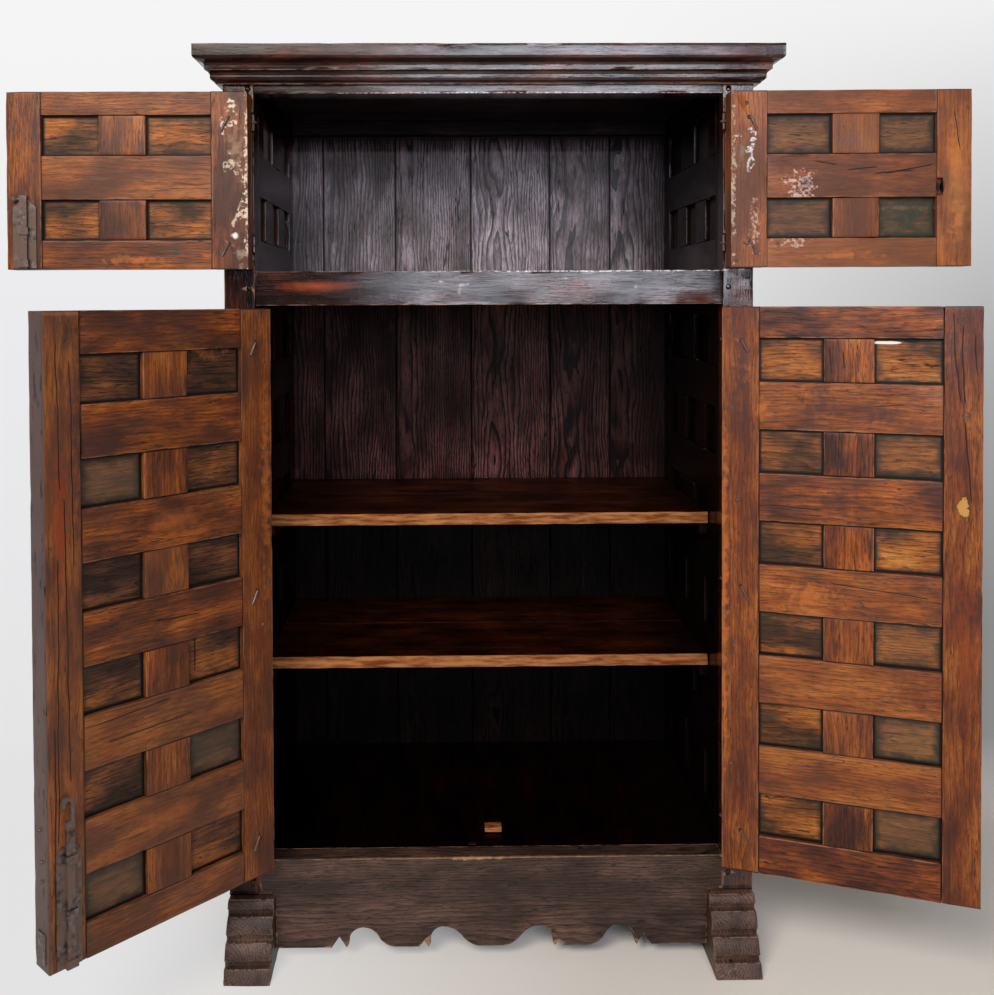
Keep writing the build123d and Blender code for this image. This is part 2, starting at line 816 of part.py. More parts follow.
# Doors and bolts. The right doors mirror the left ones, with the lower door's rails turned over.
middle_rails = [lower_middle_rail] * (lower_door_rows - 1)
upper_middle_rails = [upper_middle_rail] * (upper_door_rows - 1)
upper_rail_heights = [upper_foot_rail] + upper_middle_rails + [upper_head_rail]
lower_plan = (lower_door_foot, lower_door_height)
upper_plan = (
    upper_door_foot,
    upper_door_height,
    upper_rail_heights,
    upper_muntin_centre,
    upper_hinge_heights,
)
door_plans = {
    "lower_left": (
        *lower_plan,
        [narrow_end_rail] + middle_rails + [wide_end_rail],
        lower_muntin_centre,
        lower_hinge_heights,
    ),
    "lower_right": (
        *lower_plan,
        [wide_end_rail] + middle_rails + [narrow_end_rail],
        lower_muntin_centre,
        lower_hinge_heights,
    ),
    "upper_left": upper_plan,
    "upper_right": upper_plan,
}
open_angles = {
    "lower_left": lower_left_open_angle,
    "lower_right": lower_right_open_angle,
    "upper_left": upper_left_open_angle,
    "upper_right": upper_right_open_angle,
}
doors = {name: make_door(*plan) for name, plan in door_plans.items()}
slot_x = hinge_x + hinge_gap + door_width - closing_stile_width
slot_z = upper_door_foot + slot_height_from_foot
slot = block(
    (slot_x, door_thickness - slot_depth, slot_z - slot_height / 2),
    (slot_x + slot_width, door_thickness, slot_z + slot_height / 2),
)
doors["upper_right"]["closing_stile"] = [doors["upper_right"]["closing_stile"][0] - slot]
bolts = {
    "lower_left": make_bolt(
        lower_door_foot, lower_plate_height, lower_bar_height, lower_staple_heights, hook_handle
    ),
    "upper_left": make_bolt(
        upper_door_foot, upper_plate_height, upper_bar_height, upper_staple_heights, knob_handle
    ),
}
for name, (plate, staples, bar) in bolts.items():
    doors[name]["bolt_plate"] = plate
    doors[name]["bolt_staples"] = staples
    doors[name]["bolt_bar"] = [bar]
for name, groups in doors.items():
    for group, solids in groups.items():
        turned = swung(solids, open_angles[name])
        if name.endswith("right"):
            turned = mirrored(turned)
        nodes[name + "_" + group] = turned

# ---- Files -------------------------------------------------------------------------------
os.makedirs("parts", exist_ok=True)
for node, solids in nodes.items():
    placed = [Pos(0, front_y, 0) * solid for solid in solids]
    shape = placed[0] if len(placed) == 1 else Compound(children=placed)
    export_step(shape, f"parts/{node}.step")
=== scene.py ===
import bmesh
import bpy
import json
import math
import random
import numpy as np
from mathutils import Matrix, Vector, noise

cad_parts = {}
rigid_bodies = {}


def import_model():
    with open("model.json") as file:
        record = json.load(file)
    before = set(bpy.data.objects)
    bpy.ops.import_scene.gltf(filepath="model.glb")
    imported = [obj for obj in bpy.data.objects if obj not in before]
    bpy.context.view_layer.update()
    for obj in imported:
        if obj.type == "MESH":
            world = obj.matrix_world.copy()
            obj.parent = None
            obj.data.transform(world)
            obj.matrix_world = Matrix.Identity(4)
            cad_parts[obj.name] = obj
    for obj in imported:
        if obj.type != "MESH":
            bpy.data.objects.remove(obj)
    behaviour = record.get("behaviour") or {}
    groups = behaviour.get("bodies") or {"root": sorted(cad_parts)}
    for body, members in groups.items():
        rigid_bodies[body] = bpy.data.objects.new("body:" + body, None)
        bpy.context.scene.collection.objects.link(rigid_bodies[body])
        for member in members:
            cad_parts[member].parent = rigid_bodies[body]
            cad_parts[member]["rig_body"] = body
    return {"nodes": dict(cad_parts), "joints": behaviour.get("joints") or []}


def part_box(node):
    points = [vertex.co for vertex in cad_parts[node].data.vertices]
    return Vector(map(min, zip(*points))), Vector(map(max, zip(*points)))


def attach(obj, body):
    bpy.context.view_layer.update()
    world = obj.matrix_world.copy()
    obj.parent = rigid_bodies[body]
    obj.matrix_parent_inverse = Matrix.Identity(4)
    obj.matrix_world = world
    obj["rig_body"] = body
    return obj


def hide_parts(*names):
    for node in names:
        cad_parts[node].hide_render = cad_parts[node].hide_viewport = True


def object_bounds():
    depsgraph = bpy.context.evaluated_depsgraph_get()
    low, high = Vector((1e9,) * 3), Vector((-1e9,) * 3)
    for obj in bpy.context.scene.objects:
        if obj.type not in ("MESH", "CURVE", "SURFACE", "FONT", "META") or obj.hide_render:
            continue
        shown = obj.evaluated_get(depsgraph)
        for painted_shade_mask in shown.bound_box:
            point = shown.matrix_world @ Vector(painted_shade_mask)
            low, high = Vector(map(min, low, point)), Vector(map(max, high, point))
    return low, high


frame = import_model()
cad_low, cad_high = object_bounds()

MM = 0.001
CASE_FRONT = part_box("front_left_post")[0].y
CASE_TOP = cad_high[2]
DOOR_THICKNESS = 50 * MM
INNER_FACE = CASE_FRONT + DOOR_THICKNESS

# ---- Wear of the wood ---------------------------------------------------------------------
# A step is how far apart a board is divided, a wave how long an unevenness is, a depth how deep.
EDGE_ROUND = 1.7 * MM
SHARP_ANGLE = math.radians(34)
SMOOTH_ANGLE = math.radians(40)
ALONG_STEP = 20 * MM
ACROSS_STEP = 32 * MM
EDGE_STRIP = 7 * MM
PLANE_WAVE = 70 * MM
PLANE_DEPTH = 0.35 * MM
TOOL_WAVE = 22 * MM
TOOL_DEPTH = 0.12 * MM
CHIP_WAVE = 34 * MM
CHIP_DEPTH = 2.6 * MM
CHIP_START = 0.12
CHIP_SHIFT = Vector((7, 3, 5))
CHIP_REACH = 1.2 * EDGE_ROUND / MM
NO_EDGE = 100.0
JOINT_CLOSE = 0.45 * MM
FLAT_ANGLE = math.radians(1)
MERGE_GAP, CUT_GAP = 0.01 * MM, 0.001 * MM
# Where a board was cut from its log, in metres: along it, and across and through from its heart.
LOG_ALONG, LOG_ACROSS, LOG_THROUGH = (0, 40), (0.02, 0.11), (0.03, 0.12)


# ---- Places and shapes --------------------------------------------------------------------
def shut_place(body):
    """Turn that brings a body from where it stands open to where it is shut."""
    for joint in frame["joints"]:
        if joint["child"] == body and joint["type"] == "hinge":
            shift = Matrix.Translation(joint["pos_m"])
            angle = math.radians(joint["range_deg"][0])
            return shift @ Matrix.Rotation(angle, 4, Vector(joint["axis"])) @ shift.inverted()
        if joint["child"] == body:
            return shut_place(joint["parent"])
    return Matrix.Identity(4)


def node_body(node):
    """Body that a node rides on."""
    return frame["nodes"][node]["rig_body"]


def node_slot(node):
    """Material slot of a node in the record."""
    return frame["nodes"][node].data.materials[0].name.split(".")[0]


def solids_of(bm):
    """The separate solids of a mesh, each as a mesh of its own."""
    bm.faces.index_update()
    for face in bm.faces:
        face.tag = False
    solids = []
    for seed in list(bm.faces):
        if seed.tag:
            continue
        seed.tag = True
        group, front = {seed.index}, [seed]
        while front:
            for edge in front.pop().edges:
                for other in edge.link_faces:
                    if not other.tag:
                        other.tag = True
                        group.add(other.index)
                        front.append(other)
        solid = bm.copy()
        others = [face for face in solid.faces if face.index not in group]
        bmesh.ops.delete(solid, geom=others, context="FACES")
        solids.append(solid)
    return solids


def cut_lines(low, high, step):
    """Levels at which a side is divided: close to both edges, and evenly between them."""
    start, end = low + EDGE_STRIP, high - EDGE_STRIP
    if end <= start:
        return []
    count = max(1, round((end - start) / step))
    return [start + (end - start) * i / count for i in range(count + 1)]


def grain_axes(solid, grain):
    """Axis along the grain, across it on the wide face, and through the thickness."""
    low = np.min([v.co for v in solid.verts], axis=0)
    high = np.max([v.co for v in solid.verts], axis=0)
    size = high - low
    along = "xyz".index(grain) if grain else int(np.argmax(size))
    across, through = sorted([i for i in range(3) if i != along], key=lambda i: -size[i])
    return (along, across, through), low, high


def sharp_lines(solid, along):
    """Convex sharp edges of a solid, split into those along the grain and those across it."""
    lengthwise, endwise = [], []
    for edge in solid.edges:
        if edge.is_manifold and edge.calc_face_angle_signed(0) > SHARP_ANGLE:
            a, b = (v.co.copy() for v in edge.verts)
            line = endwise if abs((b - a).normalized()[along]) < 0.5 else lengthwise
            line.append((a, b))
    return lengthwise, endwise


def gap_to(points, lines):
    """Distance in millimetres from each point to the nearest of the lines."""
    if not lines:
        return np.full(len(points), NO_EDGE)
    a = np.array([line[0] for line in lines])
    run = np.array([line[1] for line in lines]) - a
    offset = points[:, None, :] - a[None]
    share = np.clip((offset * run).sum(2) / (run * run).sum(1), 0, 1)
    return np.linalg.norm(offset - share[..., None] * run[None], axis=2).min(1) / MM


def wear_down(solid, rim, chips):
    """Plane waves and tool marks all over, and dents along the rounded edges."""
    solid.normal_update()
    sunk = []
    for vert, gap in zip(solid.verts, rim):
        place = vert.co
        depth = PLANE_DEPTH * (1 + noise.noise(place / PLANE_WAVE))
        depth += TOOL_DEPTH * (1 + noise.noise(place / TOOL_WAVE))
        if gap < CHIP_REACH:
            dent = max(0.0, noise.noise(place / CHIP_WAVE + CHIP_SHIFT) - CHIP_START)
            depth += chips * CHIP_DEPTH * dent
        sunk.append(place - vert.normal * depth)
    for vert, place in zip(solid.verts, sunk):
        vert.co = place


def shut_joints(solid, points, axis, low, high):
    """Bring the sides of a board out to its neighbours, so no light passes between them."""
    for vert, level in zip(solid.verts, points[:, axis]):
        if level - low[axis] < JOINT_CLOSE:
            vert.co[axis] = low[axis] - JOINT_CLOSE
        if high[axis] - level < JOINT_CLOSE:
            vert.co[axis] = high[axis] + JOINT_CLOSE


def worn_piece(node, grain=None, chips=1.0, all_rim=False, step=ALONG_STEP, frame_edge=None,
               snug=False, tones=(0.0, 1.0)):
    """Copy of a wooden node with rounded, dented edges and uneven faces; it stands for the node.

    Each solid carries its own place in the wood (grain), its place on the shut cupboard (spot),
    a tone, and how far each point is from the edges along the grain (rim) and across it (tip),
    in millimetres. Where a frame holds the piece, rim and end are the distances from the frame.
    """
    body = node_body(node)
    shut = shut_place(body)
    source = bmesh.new()
    source.from_mesh(frame["nodes"][node].data)
    bmesh.ops.remove_doubles(source, verts=source.verts, dist=MERGE_GAP)
    source.transform(shut)
    bmesh.ops.dissolve_limit(
        source, angle_limit=FLAT_ANGLE, verts=source.verts, edges=source.edges
    )
    whole = bmesh.new()
    marks = {"grain": [], "spot": [], "tone": [], "rim": [], "tip": [], "end": []}
    dice = random.Random(node)
    for solid in solids_of(source):
        axes, low, high = grain_axes(solid, grain)
        lengthwise, endwise = sharp_lines(solid, axes[0])
        if all_rim:
            lengthwise, endwise = lengthwise + endwise, []
        edges = [
            edge for edge in solid.edges
            if edge.is_manifold and edge.calc_face_angle_signed(0) > SHARP_ANGLE
        ]
        bmesh.ops.bevel(
            solid, geom=edges, offset=EDGE_ROUND, offset_type="OFFSET", segments=2, profile=0.5,
            affect="EDGES", clamp_overlap=True, material=-1,
        )
        for axis, spacing in zip(axes, (step, ACROSS_STEP, ACROSS_STEP)):
            normal = Vector((axis == 0, axis == 1, axis == 2))
            for level in cut_lines(low[axis], high[axis], spacing):
                bmesh.ops.bisect_plane(
                    solid, geom=solid.verts[:] + solid.edges[:] + solid.faces[:],
                    dist=CUT_GAP, plane_co=normal * level, plane_no=normal,
                )
        points = np.array([v.co for v in solid.verts])
        rim = gap_to(points, lengthwise)
        tip = gap_to(points, endwise)
        end = tip
        if frame_edge is not None:
            end, rim = (
                np.minimum(points[:, i] - low[i], high[i] - points[:, i]) / MM - frame_edge
                for i in axes[:2]
            )
        heart = [dice.uniform(*span) for span in (LOG_ALONG, LOG_ACROSS, LOG_THROUGH)]
        middle = (low + high) / 2
        place = points[:, axes] - middle[list(axes)] + np.array(heart)
        marks["grain"].append(place)
        marks["spot"].append(points)
        marks["tone"].append(np.full(len(points), dice.uniform(*tones)))
        marks["rim"].append(rim)
        marks["tip"].append(tip)
        marks["end"].append(end)
        wear_down(solid, gap_to(points, lengthwise + endwise), chips)
        if snug:
            shut_joints(solid, points, axes[1], low, high)
        part = bpy.data.meshes.new(node + "_part")
        solid.to_mesh(part)
        whole.from_mesh(part)
        bpy.data.meshes.remove(part)
        solid.free()
    source.free()
    whole.transform(shut.inverted())
    mesh = bpy.data.meshes.new(node + "_worn")
    whole.to_mesh(mesh)
    whole.free()
    for name, values in marks.items():
        kind = "FLOAT_VECTOR" if name in ("grain", "spot") else "FLOAT"
        field = "vector" if name in ("grain", "spot") else "value"
        layer = mesh.attributes.new(name, kind, "POINT")
        layer.data.foreach_set(field, np.concatenate(values).astype(np.float32).ravel())
    mesh.shade_smooth()
    mesh.set_sharp_from_angle(angle=SMOOTH_ANGLE)
    piece = bpy.data.objects.new(node + "_worn", mesh)
    bpy.context.scene.collection.objects.link(piece)
    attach(piece, body)
    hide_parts(node)
    return piece


# ---- Materials ----------------------------------------------------------------------------
def linear(code):
    """sRGB hex colour as linear RGBA."""
    channels = [int(code[i : i + 2], 16) / 255 for i in (1, 3, 5)]
    return [c / 12.92 if c <= 0.04045 else ((c + 0.055) / 1.055) ** 2.4 for c in channels] + [1.0]


def add(tree, kind, settings=None, inputs=(), out=0):
    """Add a shader node, set its options, fill or link its inputs, and return one output.

    settings are its options by name, or its operation alone; inputs are its first ones in order,
    or any by name or number. A text that is an input's value is a colour.
    """
    made = tree.nodes.new("ShaderNode" + kind)
    if isinstance(settings, str):
        settings = {"operation": settings}
    for name, value in (settings or {}).items():
        if name == "stops":
            ramp = made.color_ramp
            while len(ramp.elements) < len(value):
                ramp.elements.new(1.0)
            for element, (position, code) in zip(ramp.elements, value):
                element.position = position
                element.color = linear(code)
        else:
            setattr(made, name, value)
    for key, value in inputs.items() if isinstance(inputs, dict) else enumerate(inputs):
        if isinstance(value, bpy.types.NodeSocket):
            tree.links.new(value, made.inputs[key])
        else:
            made.inputs[key].default_value = linear(value) if isinstance(value, str) else value
    return made.outputs[out]


def new_tree(name):
    """An empty material and its node tree."""
    material = bpy.data.materials.new(name)
    material.use_nodes = True
    material.node_tree.nodes.clear()
    return material, material.node_tree


# A Mix node of colours takes its factor at 0 and the colours at 6 and 7, and gives output 2.
COLOURS = {"data_type": "RGBA"}
TINTED = {"data_type": "RGBA", "blend_type": "MULTIPLY"}


def streaks(tree, place, along, across, detail=3.0, rough=0.55):
    """Noise drawn out along the grain, between 0 and 1; its lengths are in millimetres."""
    scale = (1000 / along, 1000 / across, 1000 / across)
    scaled = add(tree, "VectorMath", "MULTIPLY", (place, scale))
    noise_inputs = {"Vector": scaled, "Scale": 1.0, "Detail": detail, "Roughness": rough}
    return add(tree, "TexNoise", {}, noise_inputs)


def product(tree, *values):
    """All the values multiplied together."""
    total = values[0]
    for value in values[1:]:
        total = add(tree, "Math", "MULTIPLY", (total, value))
    return total


# Sizes of torn edges and of flakes of paint in millimetres, and where a flake ends in its noise.
TORN_EDGE, FLAKE, FLAKE_EDGE = 13, 6, (0.44, 0.56)
# A split bends and wanders, is open this wide, closes over its end, and is in the inner face only.
SPLIT_BEND, SPLIT_WANDER, SPLIT_WIDTH, SPLIT_END = 90, 3.0, 1.4, 8
SPLIT_DEEP, SPLIT_OPEN = INNER_FACE - 5 * MM, INNER_FACE - 3 * MM


def shut_spot(tree):
    """Place on the shut cupboard: as a vector, by its parts, and a ragged noise there."""
    spot = add(tree, "Attribute", {"attribute_name": "spot"}, out=1)
    x, y, z = add(tree, "SeparateXYZ", {}, (spot,), out=slice(0, 3))
    torn = add(tree, "TexNoise", {}, {"Vector": spot, "Scale": 1000 / TORN_EDGE, "Detail": 6.0})
    flakes = add(tree, "TexNoise", {}, {"Vector": spot, "Scale": 1000 / FLAKE, "Detail": 4.0})
    broken = add(tree, "MapRange", {}, (flakes, *FLAKE_EDGE))
    return {"vector": spot, "x": x, "y": y, "z": z, "torn": torn, "broken": broken}


def patch(tree, spot, centre, radii, ragged, fade):
    """1 inside a ragged oval round a place on the shut cupboard, 0 outside; in millimetres."""
    centre = [c * MM for c in centre]
    radii = [r * MM for r in radii]
    offset = add(tree, "VectorMath", "SUBTRACT", (spot["vector"], centre))
    share = add(tree, "VectorMath", "DIVIDE", (offset, radii))
    reach = add(tree, "VectorMath", "LENGTH", (share,), out=1)
    reach = add(tree, "Math", "MULTIPLY_ADD", (spot["torn"], 4 * ragged, reach))
    return add(tree, "MapRange", {}, (reach, 1.0 + 2 * ragged, 1.0 - fade + 2 * ragged))


def split_line(tree, spot, start, end):
    """1 along an open split in the inner face of a shut door, from one (x, z) to a greater one."""
    side, run = spot["x"], spot["z"]
    if abs(end[0] - start[0]) > abs(end[1] - start[1]):
        start, end, side, run = start[::-1], end[::-1], run, side
    slope = (end[0] - start[0]) / (end[1] - start[1])
    foot = (start[0] - slope * start[1] - SPLIT_WANDER) * MM
    bend = {"W": run, "Scale": 1000 / SPLIT_BEND, "Detail": 4.0}
    bend = add(tree, "TexNoise", {"noise_dimensions": "1D"}, bend)
    middle = add(tree, "Math", "MULTIPLY_ADD", (run, slope, foot))
    middle = add(tree, "Math", "MULTIPLY_ADD", (bend, 2 * SPLIT_WANDER * MM, middle))
    gap = add(tree, "Math", "SUBTRACT", (side, middle))
    gap = add(tree, "Math", "ABSOLUTE", (gap,))
    line = add(tree, "MapRange", {}, (gap, SPLIT_WIDTH * MM, 0.4 * SPLIT_WIDTH * MM))
    above = add(tree, "MapRange", {}, (run, start[1] * MM, (start[1] + SPLIT_END) * MM))
    below = add(tree, "MapRange", {}, (run, end[1] * MM, (end[1] - SPLIT_END) * MM))
    inner = add(tree, "MapRange", {}, (spot["y"], SPLIT_DEEP, SPLIT_OPEN))
    return product(tree, line, above, below, inner)


# Length of each figure of the wood along the grain and across it, in millimetres. Fibres and
# pores are finer in real pine, and are drawn as coarse as they need to be to show.
SWAY, BAND, STAIN, FIBRE = (240, 60), (150, 9), (130, 60), (30, 2.4)
CHECK, CHECKED, PORE, RUB = (200, 14), (120, 30), (18, 2.4), (40, 12)
# Growth rings: how wide they are, how far they sway, and how steeply each one darkens.
RING_WIDTH, RING_SWAY, RING_STEEP = 5.5 * MM, 28 * MM, 2.5
# Where the noises pass into the line of a check, a zone that has checks, and a pore.
CHECK_EDGE, ZONE_LEVEL, ZONE_MORE, ZONE_EDGE = (0.012, 0.004), 0.66, 0.14, 0.03
PORE_EDGE = (0.58, 0.66)


def wood_figure(tree, checks):
    """Growth rings, fibres, checks and pores of a board, from its place in the log."""
    place = add(tree, "Attribute", {"attribute_name": "grain"}, out=1)
    section = add(tree, "VectorMath", "MULTIPLY", (place, (0, 1, 1)))
    radius = add(tree, "VectorMath", "LENGTH", (section,), out=1)
    sway = streaks(tree, place, *SWAY, 2.0)
    radius = add(tree, "Math", "MULTIPLY_ADD", (sway, RING_SWAY, radius))
    ring = add(tree, "Math", "DIVIDE", (radius, RING_WIDTH))
    ring = add(tree, "Math", "FRACT", (ring,))
    line = add(tree, "Math", "SUBTRACT", (streaks(tree, place, *CHECK, 3.0), 0.5))
    line = add(tree, "Math", "ABSOLUTE", (line,))
    line = add(tree, "MapRange", {}, (line, *CHECK_EDGE))
    level = ZONE_LEVEL - ZONE_MORE * checks
    zone = (streaks(tree, place, *CHECKED, 1.0), level - ZONE_EDGE, level + ZONE_EDGE)
    zone = add(tree, "MapRange", {}, zone)
    return {
        "place": place,
        "ring": add(tree, "Math", "POWER", (ring, RING_STEEP)),
        "fibre": streaks(tree, place, *FIBRE, 4.0, 0.7),
        "band": streaks(tree, place, *BAND, 3.0, 0.5),
        "stain": streaks(tree, place, *STAIN, 3.0, 0.5),
        "check": product(tree, line, zone),
        "pore": add(tree, "MapRange", {}, (streaks(tree, place, *PORE, 2.0), *PORE_EDGE)),
    }


# How far a board's tone and bands move it along its palette, and how its grain shades it: how
# strongly, round what middle, and how dark at most.
TONE_SHARE, BAND_SHARE, PALETTE_SHIFT = 0.16, 0.2, 0.1
GRAIN_SHADE, GRAIN_MIDDLE, GRAIN_DARKEST = 3.2, 1.82, 0.1
PORE_DARK = 0.7
# Millimetres from the end of a board over which it darkens.
DARK_TIP = (2.6, 1.5)
# Heights of rings, checks and pores beside those of the fibres, and how deep the fibres are.
RING_HEIGHT, CHECK_HEIGHT, PORE_HEIGHT, FIBRE_DEPTH = 0.4, -2.0, -0.5, 0.8 * MM
# The stain polishes the wood and bare wood is rougher.
STAIN_POLISH, MEAN_POLISH, BARE_ROUGH = -0.25, 0.12, 0.1
WOOD_IOR = 1.5


def plain(tree, colour, height):
    """Nothing laid over the common wood, which keeps all its shine."""
    return colour, height, None


def old_wood(name, palette, worn, joint, rough, gloss=0.5, ring=0.2, contrast=1.0, checks=0.5,
             wear=(3.2, 0.8), rubbing=(0.42, 0.56), over=plain, deep=0.35):
    """Hand-planed pine, stained and waxed long ago: cloudy stain, fine grain, pale rubbed edges.

    over(tree, colour, height) lays what is special to one piece over the common wood, and gives
    the share of the shine that is left, or None where all of it is.
    """
    material, tree = new_tree(name)
    figure = wood_figure(tree, checks)
    tone, rim, tip = (
        add(tree, "Attribute", {"attribute_name": mark}, out=2)
        for mark in ("tone", "rim", "tip")
    )
    tone = add(tree, "Math", "SUBTRACT", (tone, 0.5))
    value = add(tree, "Math", "MULTIPLY_ADD", (tone, TONE_SHARE, figure["stain"]))
    value = add(tree, "Math", "SUBTRACT", (value, PALETTE_SHIFT))
    value = add(tree, "Math", "MULTIPLY_ADD", (figure["band"], BAND_SHARE, value))
    colour = add(tree, "ValToRGB", {"stops": palette}, (value,))
    grain = add(tree, "Math", "MULTIPLY_ADD", (figure["band"], BAND_SHARE, figure["fibre"]))
    grain = add(tree, "Math", "MULTIPLY_ADD", (figure["ring"], -ring, grain))
    shade = (grain, GRAIN_SHADE * contrast, 1 - GRAIN_MIDDLE * contrast)
    shade = add(tree, "Math", "MULTIPLY_ADD", shade)
    shade = add(tree, "Math", "MAXIMUM", (shade, GRAIN_DARKEST))
    colour = add(tree, "VectorMath", "SCALE", {0: colour, "Scale": shade})
    rubbed = add(tree, "MapRange", {}, (streaks(tree, figure["place"], *RUB, 3.0), *rubbing))
    bare = product(tree, add(tree, "MapRange", {}, (rim, *wear)), rubbed)
    colour = add(tree, "Mix", COLOURS, {0: bare, 6: colour, 7: worn}, out=2)
    dark = add(tree, "Math", "MULTIPLY_ADD", (figure["pore"], PORE_DARK, figure["check"]))
    dark = add(tree, "Math", "ADD", (dark, add(tree, "MapRange", {}, (tip, *DARK_TIP))))
    dark = add(tree, "Math", "MINIMUM", (dark, 1.0))
    colour = add(tree, "Mix", COLOURS, {0: dark, 6: colour, 7: joint}, out=2)
    height = add(tree, "Math", "MULTIPLY_ADD", (figure["ring"], RING_HEIGHT, figure["fibre"]))
    height = add(tree, "Math", "MULTIPLY_ADD", (figure["check"], CHECK_HEIGHT, height))
    height = add(tree, "Math", "MULTIPLY_ADD", (figure["pore"], PORE_HEIGHT, height))
    colour, height, shine = over(tree, colour, height)
    if shine is not None:
        gloss = product(tree, shine, gloss)
    bump = add(tree, "Bump", {}, {"Strength": deep, "Distance": FIBRE_DEPTH, "Height": height})
    polish = (figure["stain"], STAIN_POLISH, rough + MEAN_POLISH)
    polish = add(tree, "Math", "MULTIPLY_ADD", polish)
    polish = add(tree, "Math", "MULTIPLY_ADD", (bare, BARE_ROUGH, polish))
    shader = add(
        tree, "BsdfPrincipled", {},
        {"Base Color": colour, "Roughness": polish, "IOR": WOOD_IOR, "Normal": bump,
         "Specular IOR Level": gloss},
    )
    add(tree, "OutputMaterial", {}, (shader,), out=slice(0, 0))
    return material


# Painted shade inside the case, darker lower down and under the top: what is left of the colour at
# each height in millimetres.
CASE_PAINTED_SHADE = [
    (200, "#30261e"), (560, "#4a382c"), (850, "#4a382c"), (890, "#6a5a50"), (1310, "#6a5a50"),
    (1390, "#b8b4b2"), (1692, "#b8b4b2"), (1702, "#5e463c"),
]
BACK_PAINTED_SHADE = [
    (200, "#2a1c15"), (850, "#301f17"), (890, "#a07468"), (1310, "#846054"), (1390, "#ffffff"),
    (1700, "#ffffff"), (1730, "#5e463c"),
]
SHELF_PAINTED_SHADE = [
    (200, "#382c22"), (560, "#382c22"), (572, "#8e7864"), (1310, "#a09080"), (1390, "#b8b4b2"),
]
# On the right, painted shade covers the inside almost wholly. Only the upper tier between two
# heights keeps its shine.
PAINTED_SHADE_BLACK, PAINTED_SHADE_COVER = "#0c0705", 0.85
RIGHT_SHADE_FROM = 300 * MM
SHINE_FROM, SHINE_TO = 1385 * MM, 1694 * MM
# The space inside the case that takes painted shade: from and to behind its front, to each side,
# and up.
INSIDE_FRONT, INSIDE_BACK = CASE_FRONT + 34 * MM, CASE_FRONT + 577 * MM
INSIDE_SIDE = 482 * MM
INSIDE_FOOT = 200 * MM
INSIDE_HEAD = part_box("top_boards")[0].z + 2 * MM
INSIDE_FADE = 6 * MM


def painted_shade(tree, spot, colour, levels):
    """Colour dimmed by painted shade inside the case, more so lower down and on the right, and the
    shine that is left.
    """
    stops = [(z * MM / CASE_TOP, code) for z, code in levels]
    level = add(tree, "Math", "DIVIDE", (spot["z"], CASE_TOP))
    inside_shade = add(tree, "ValToRGB", {"stops": stops}, (level,))
    side = add(tree, "Math", "ABSOLUTE", (spot["x"],))
    within = product(
        tree,
        add(tree, "MapRange", {}, (spot["y"], INSIDE_FRONT, INSIDE_FRONT + INSIDE_FADE)),
        add(tree, "MapRange", {}, (spot["y"], INSIDE_BACK + INSIDE_FADE, INSIDE_BACK)),
        add(tree, "MapRange", {}, (side, INSIDE_SIDE + INSIDE_FADE, INSIDE_SIDE)),
        add(tree, "MapRange", {}, (spot["z"], INSIDE_FOOT, INSIDE_FOOT + INSIDE_FADE)),
        add(tree, "MapRange", {}, (spot["z"], INSIDE_HEAD + INSIDE_FADE, INSIDE_HEAD)),
    )
    colour = add(tree, "Mix", TINTED, {0: within, 6: colour, 7: inside_shade}, out=2)
    shaded_right = add(tree, "MapRange", {}, (spot["x"], RIGHT_SHADE_FROM, INSIDE_SIDE))
    shaded_right = product(tree, within, shaded_right, PAINTED_SHADE_COVER)
    low = add(tree, "MapRange", {}, (spot["z"], SHINE_FROM, SHINE_FROM - INSIDE_FADE))
    high = add(tree, "MapRange", {}, (spot["z"], SHINE_TO, SHINE_TO + INSIDE_FADE))
    dull = product(tree, within, add(tree, "Math", "MAXIMUM", (low, high)), PAINTED_SHADE_COVER)
    dull = add(tree, "Math", "MAXIMUM", (dull, shaded_right))
    shine = add(tree, "Math", "SUBTRACT", (1.0, dull))
    return add(tree, "Mix", COLOURS, {0: shaded_right, 6: colour, 7: PAINTED_SHADE_BLACK}, out=2), shine


# Marks are x, z, half width, half height in millimetres on the shut cupboard, then the colour,
# how far it covers and how ragged it is. Flakes of paint have a hard edge, stains a soft one.
CREAM, ORANGE, PLUM, OCHRE = "#c9b8a0", "#b3652a", "#3c2826", "#b98a45"
DIRT, RUST, CHALK, PALE, OXBLOOD = "#150b08", "#6b3a22", "#c9c6c8", "#c2a294", "#43140a"
BLACK, BARE = "#060302", "#dcd6c8"
FLAKES = (CREAM, CHALK, PALE)
HARD_EDGED = FLAKES + (OCHRE, BLACK, BARE)
HARD_FADE, SOFT_FADE = 0.15, 1.0
HOLE_DEPTH, SKIN_DEPTH = 24, 8


def marked(tree, spot, colour, marks, level):
    """Colour with ragged marks laid over it at one depth."""
    for x, z, across, up, code, cover, ragged in marks:
        fade = HARD_FADE if code in HARD_EDGED else SOFT_FADE
        reach = HOLE_DEPTH if code == BLACK else SKIN_DEPTH
        place = patch(tree, spot, (x, level / MM, z), (across, reach, up), ragged, fade)
        if code in FLAKES:
            place = product(tree, place, spot["broken"])
        place = product(tree, place, cover)
        colour = add(tree, "Mix", COLOURS, {0: place, 6: colour, 7: code}, out=2)
    return colour


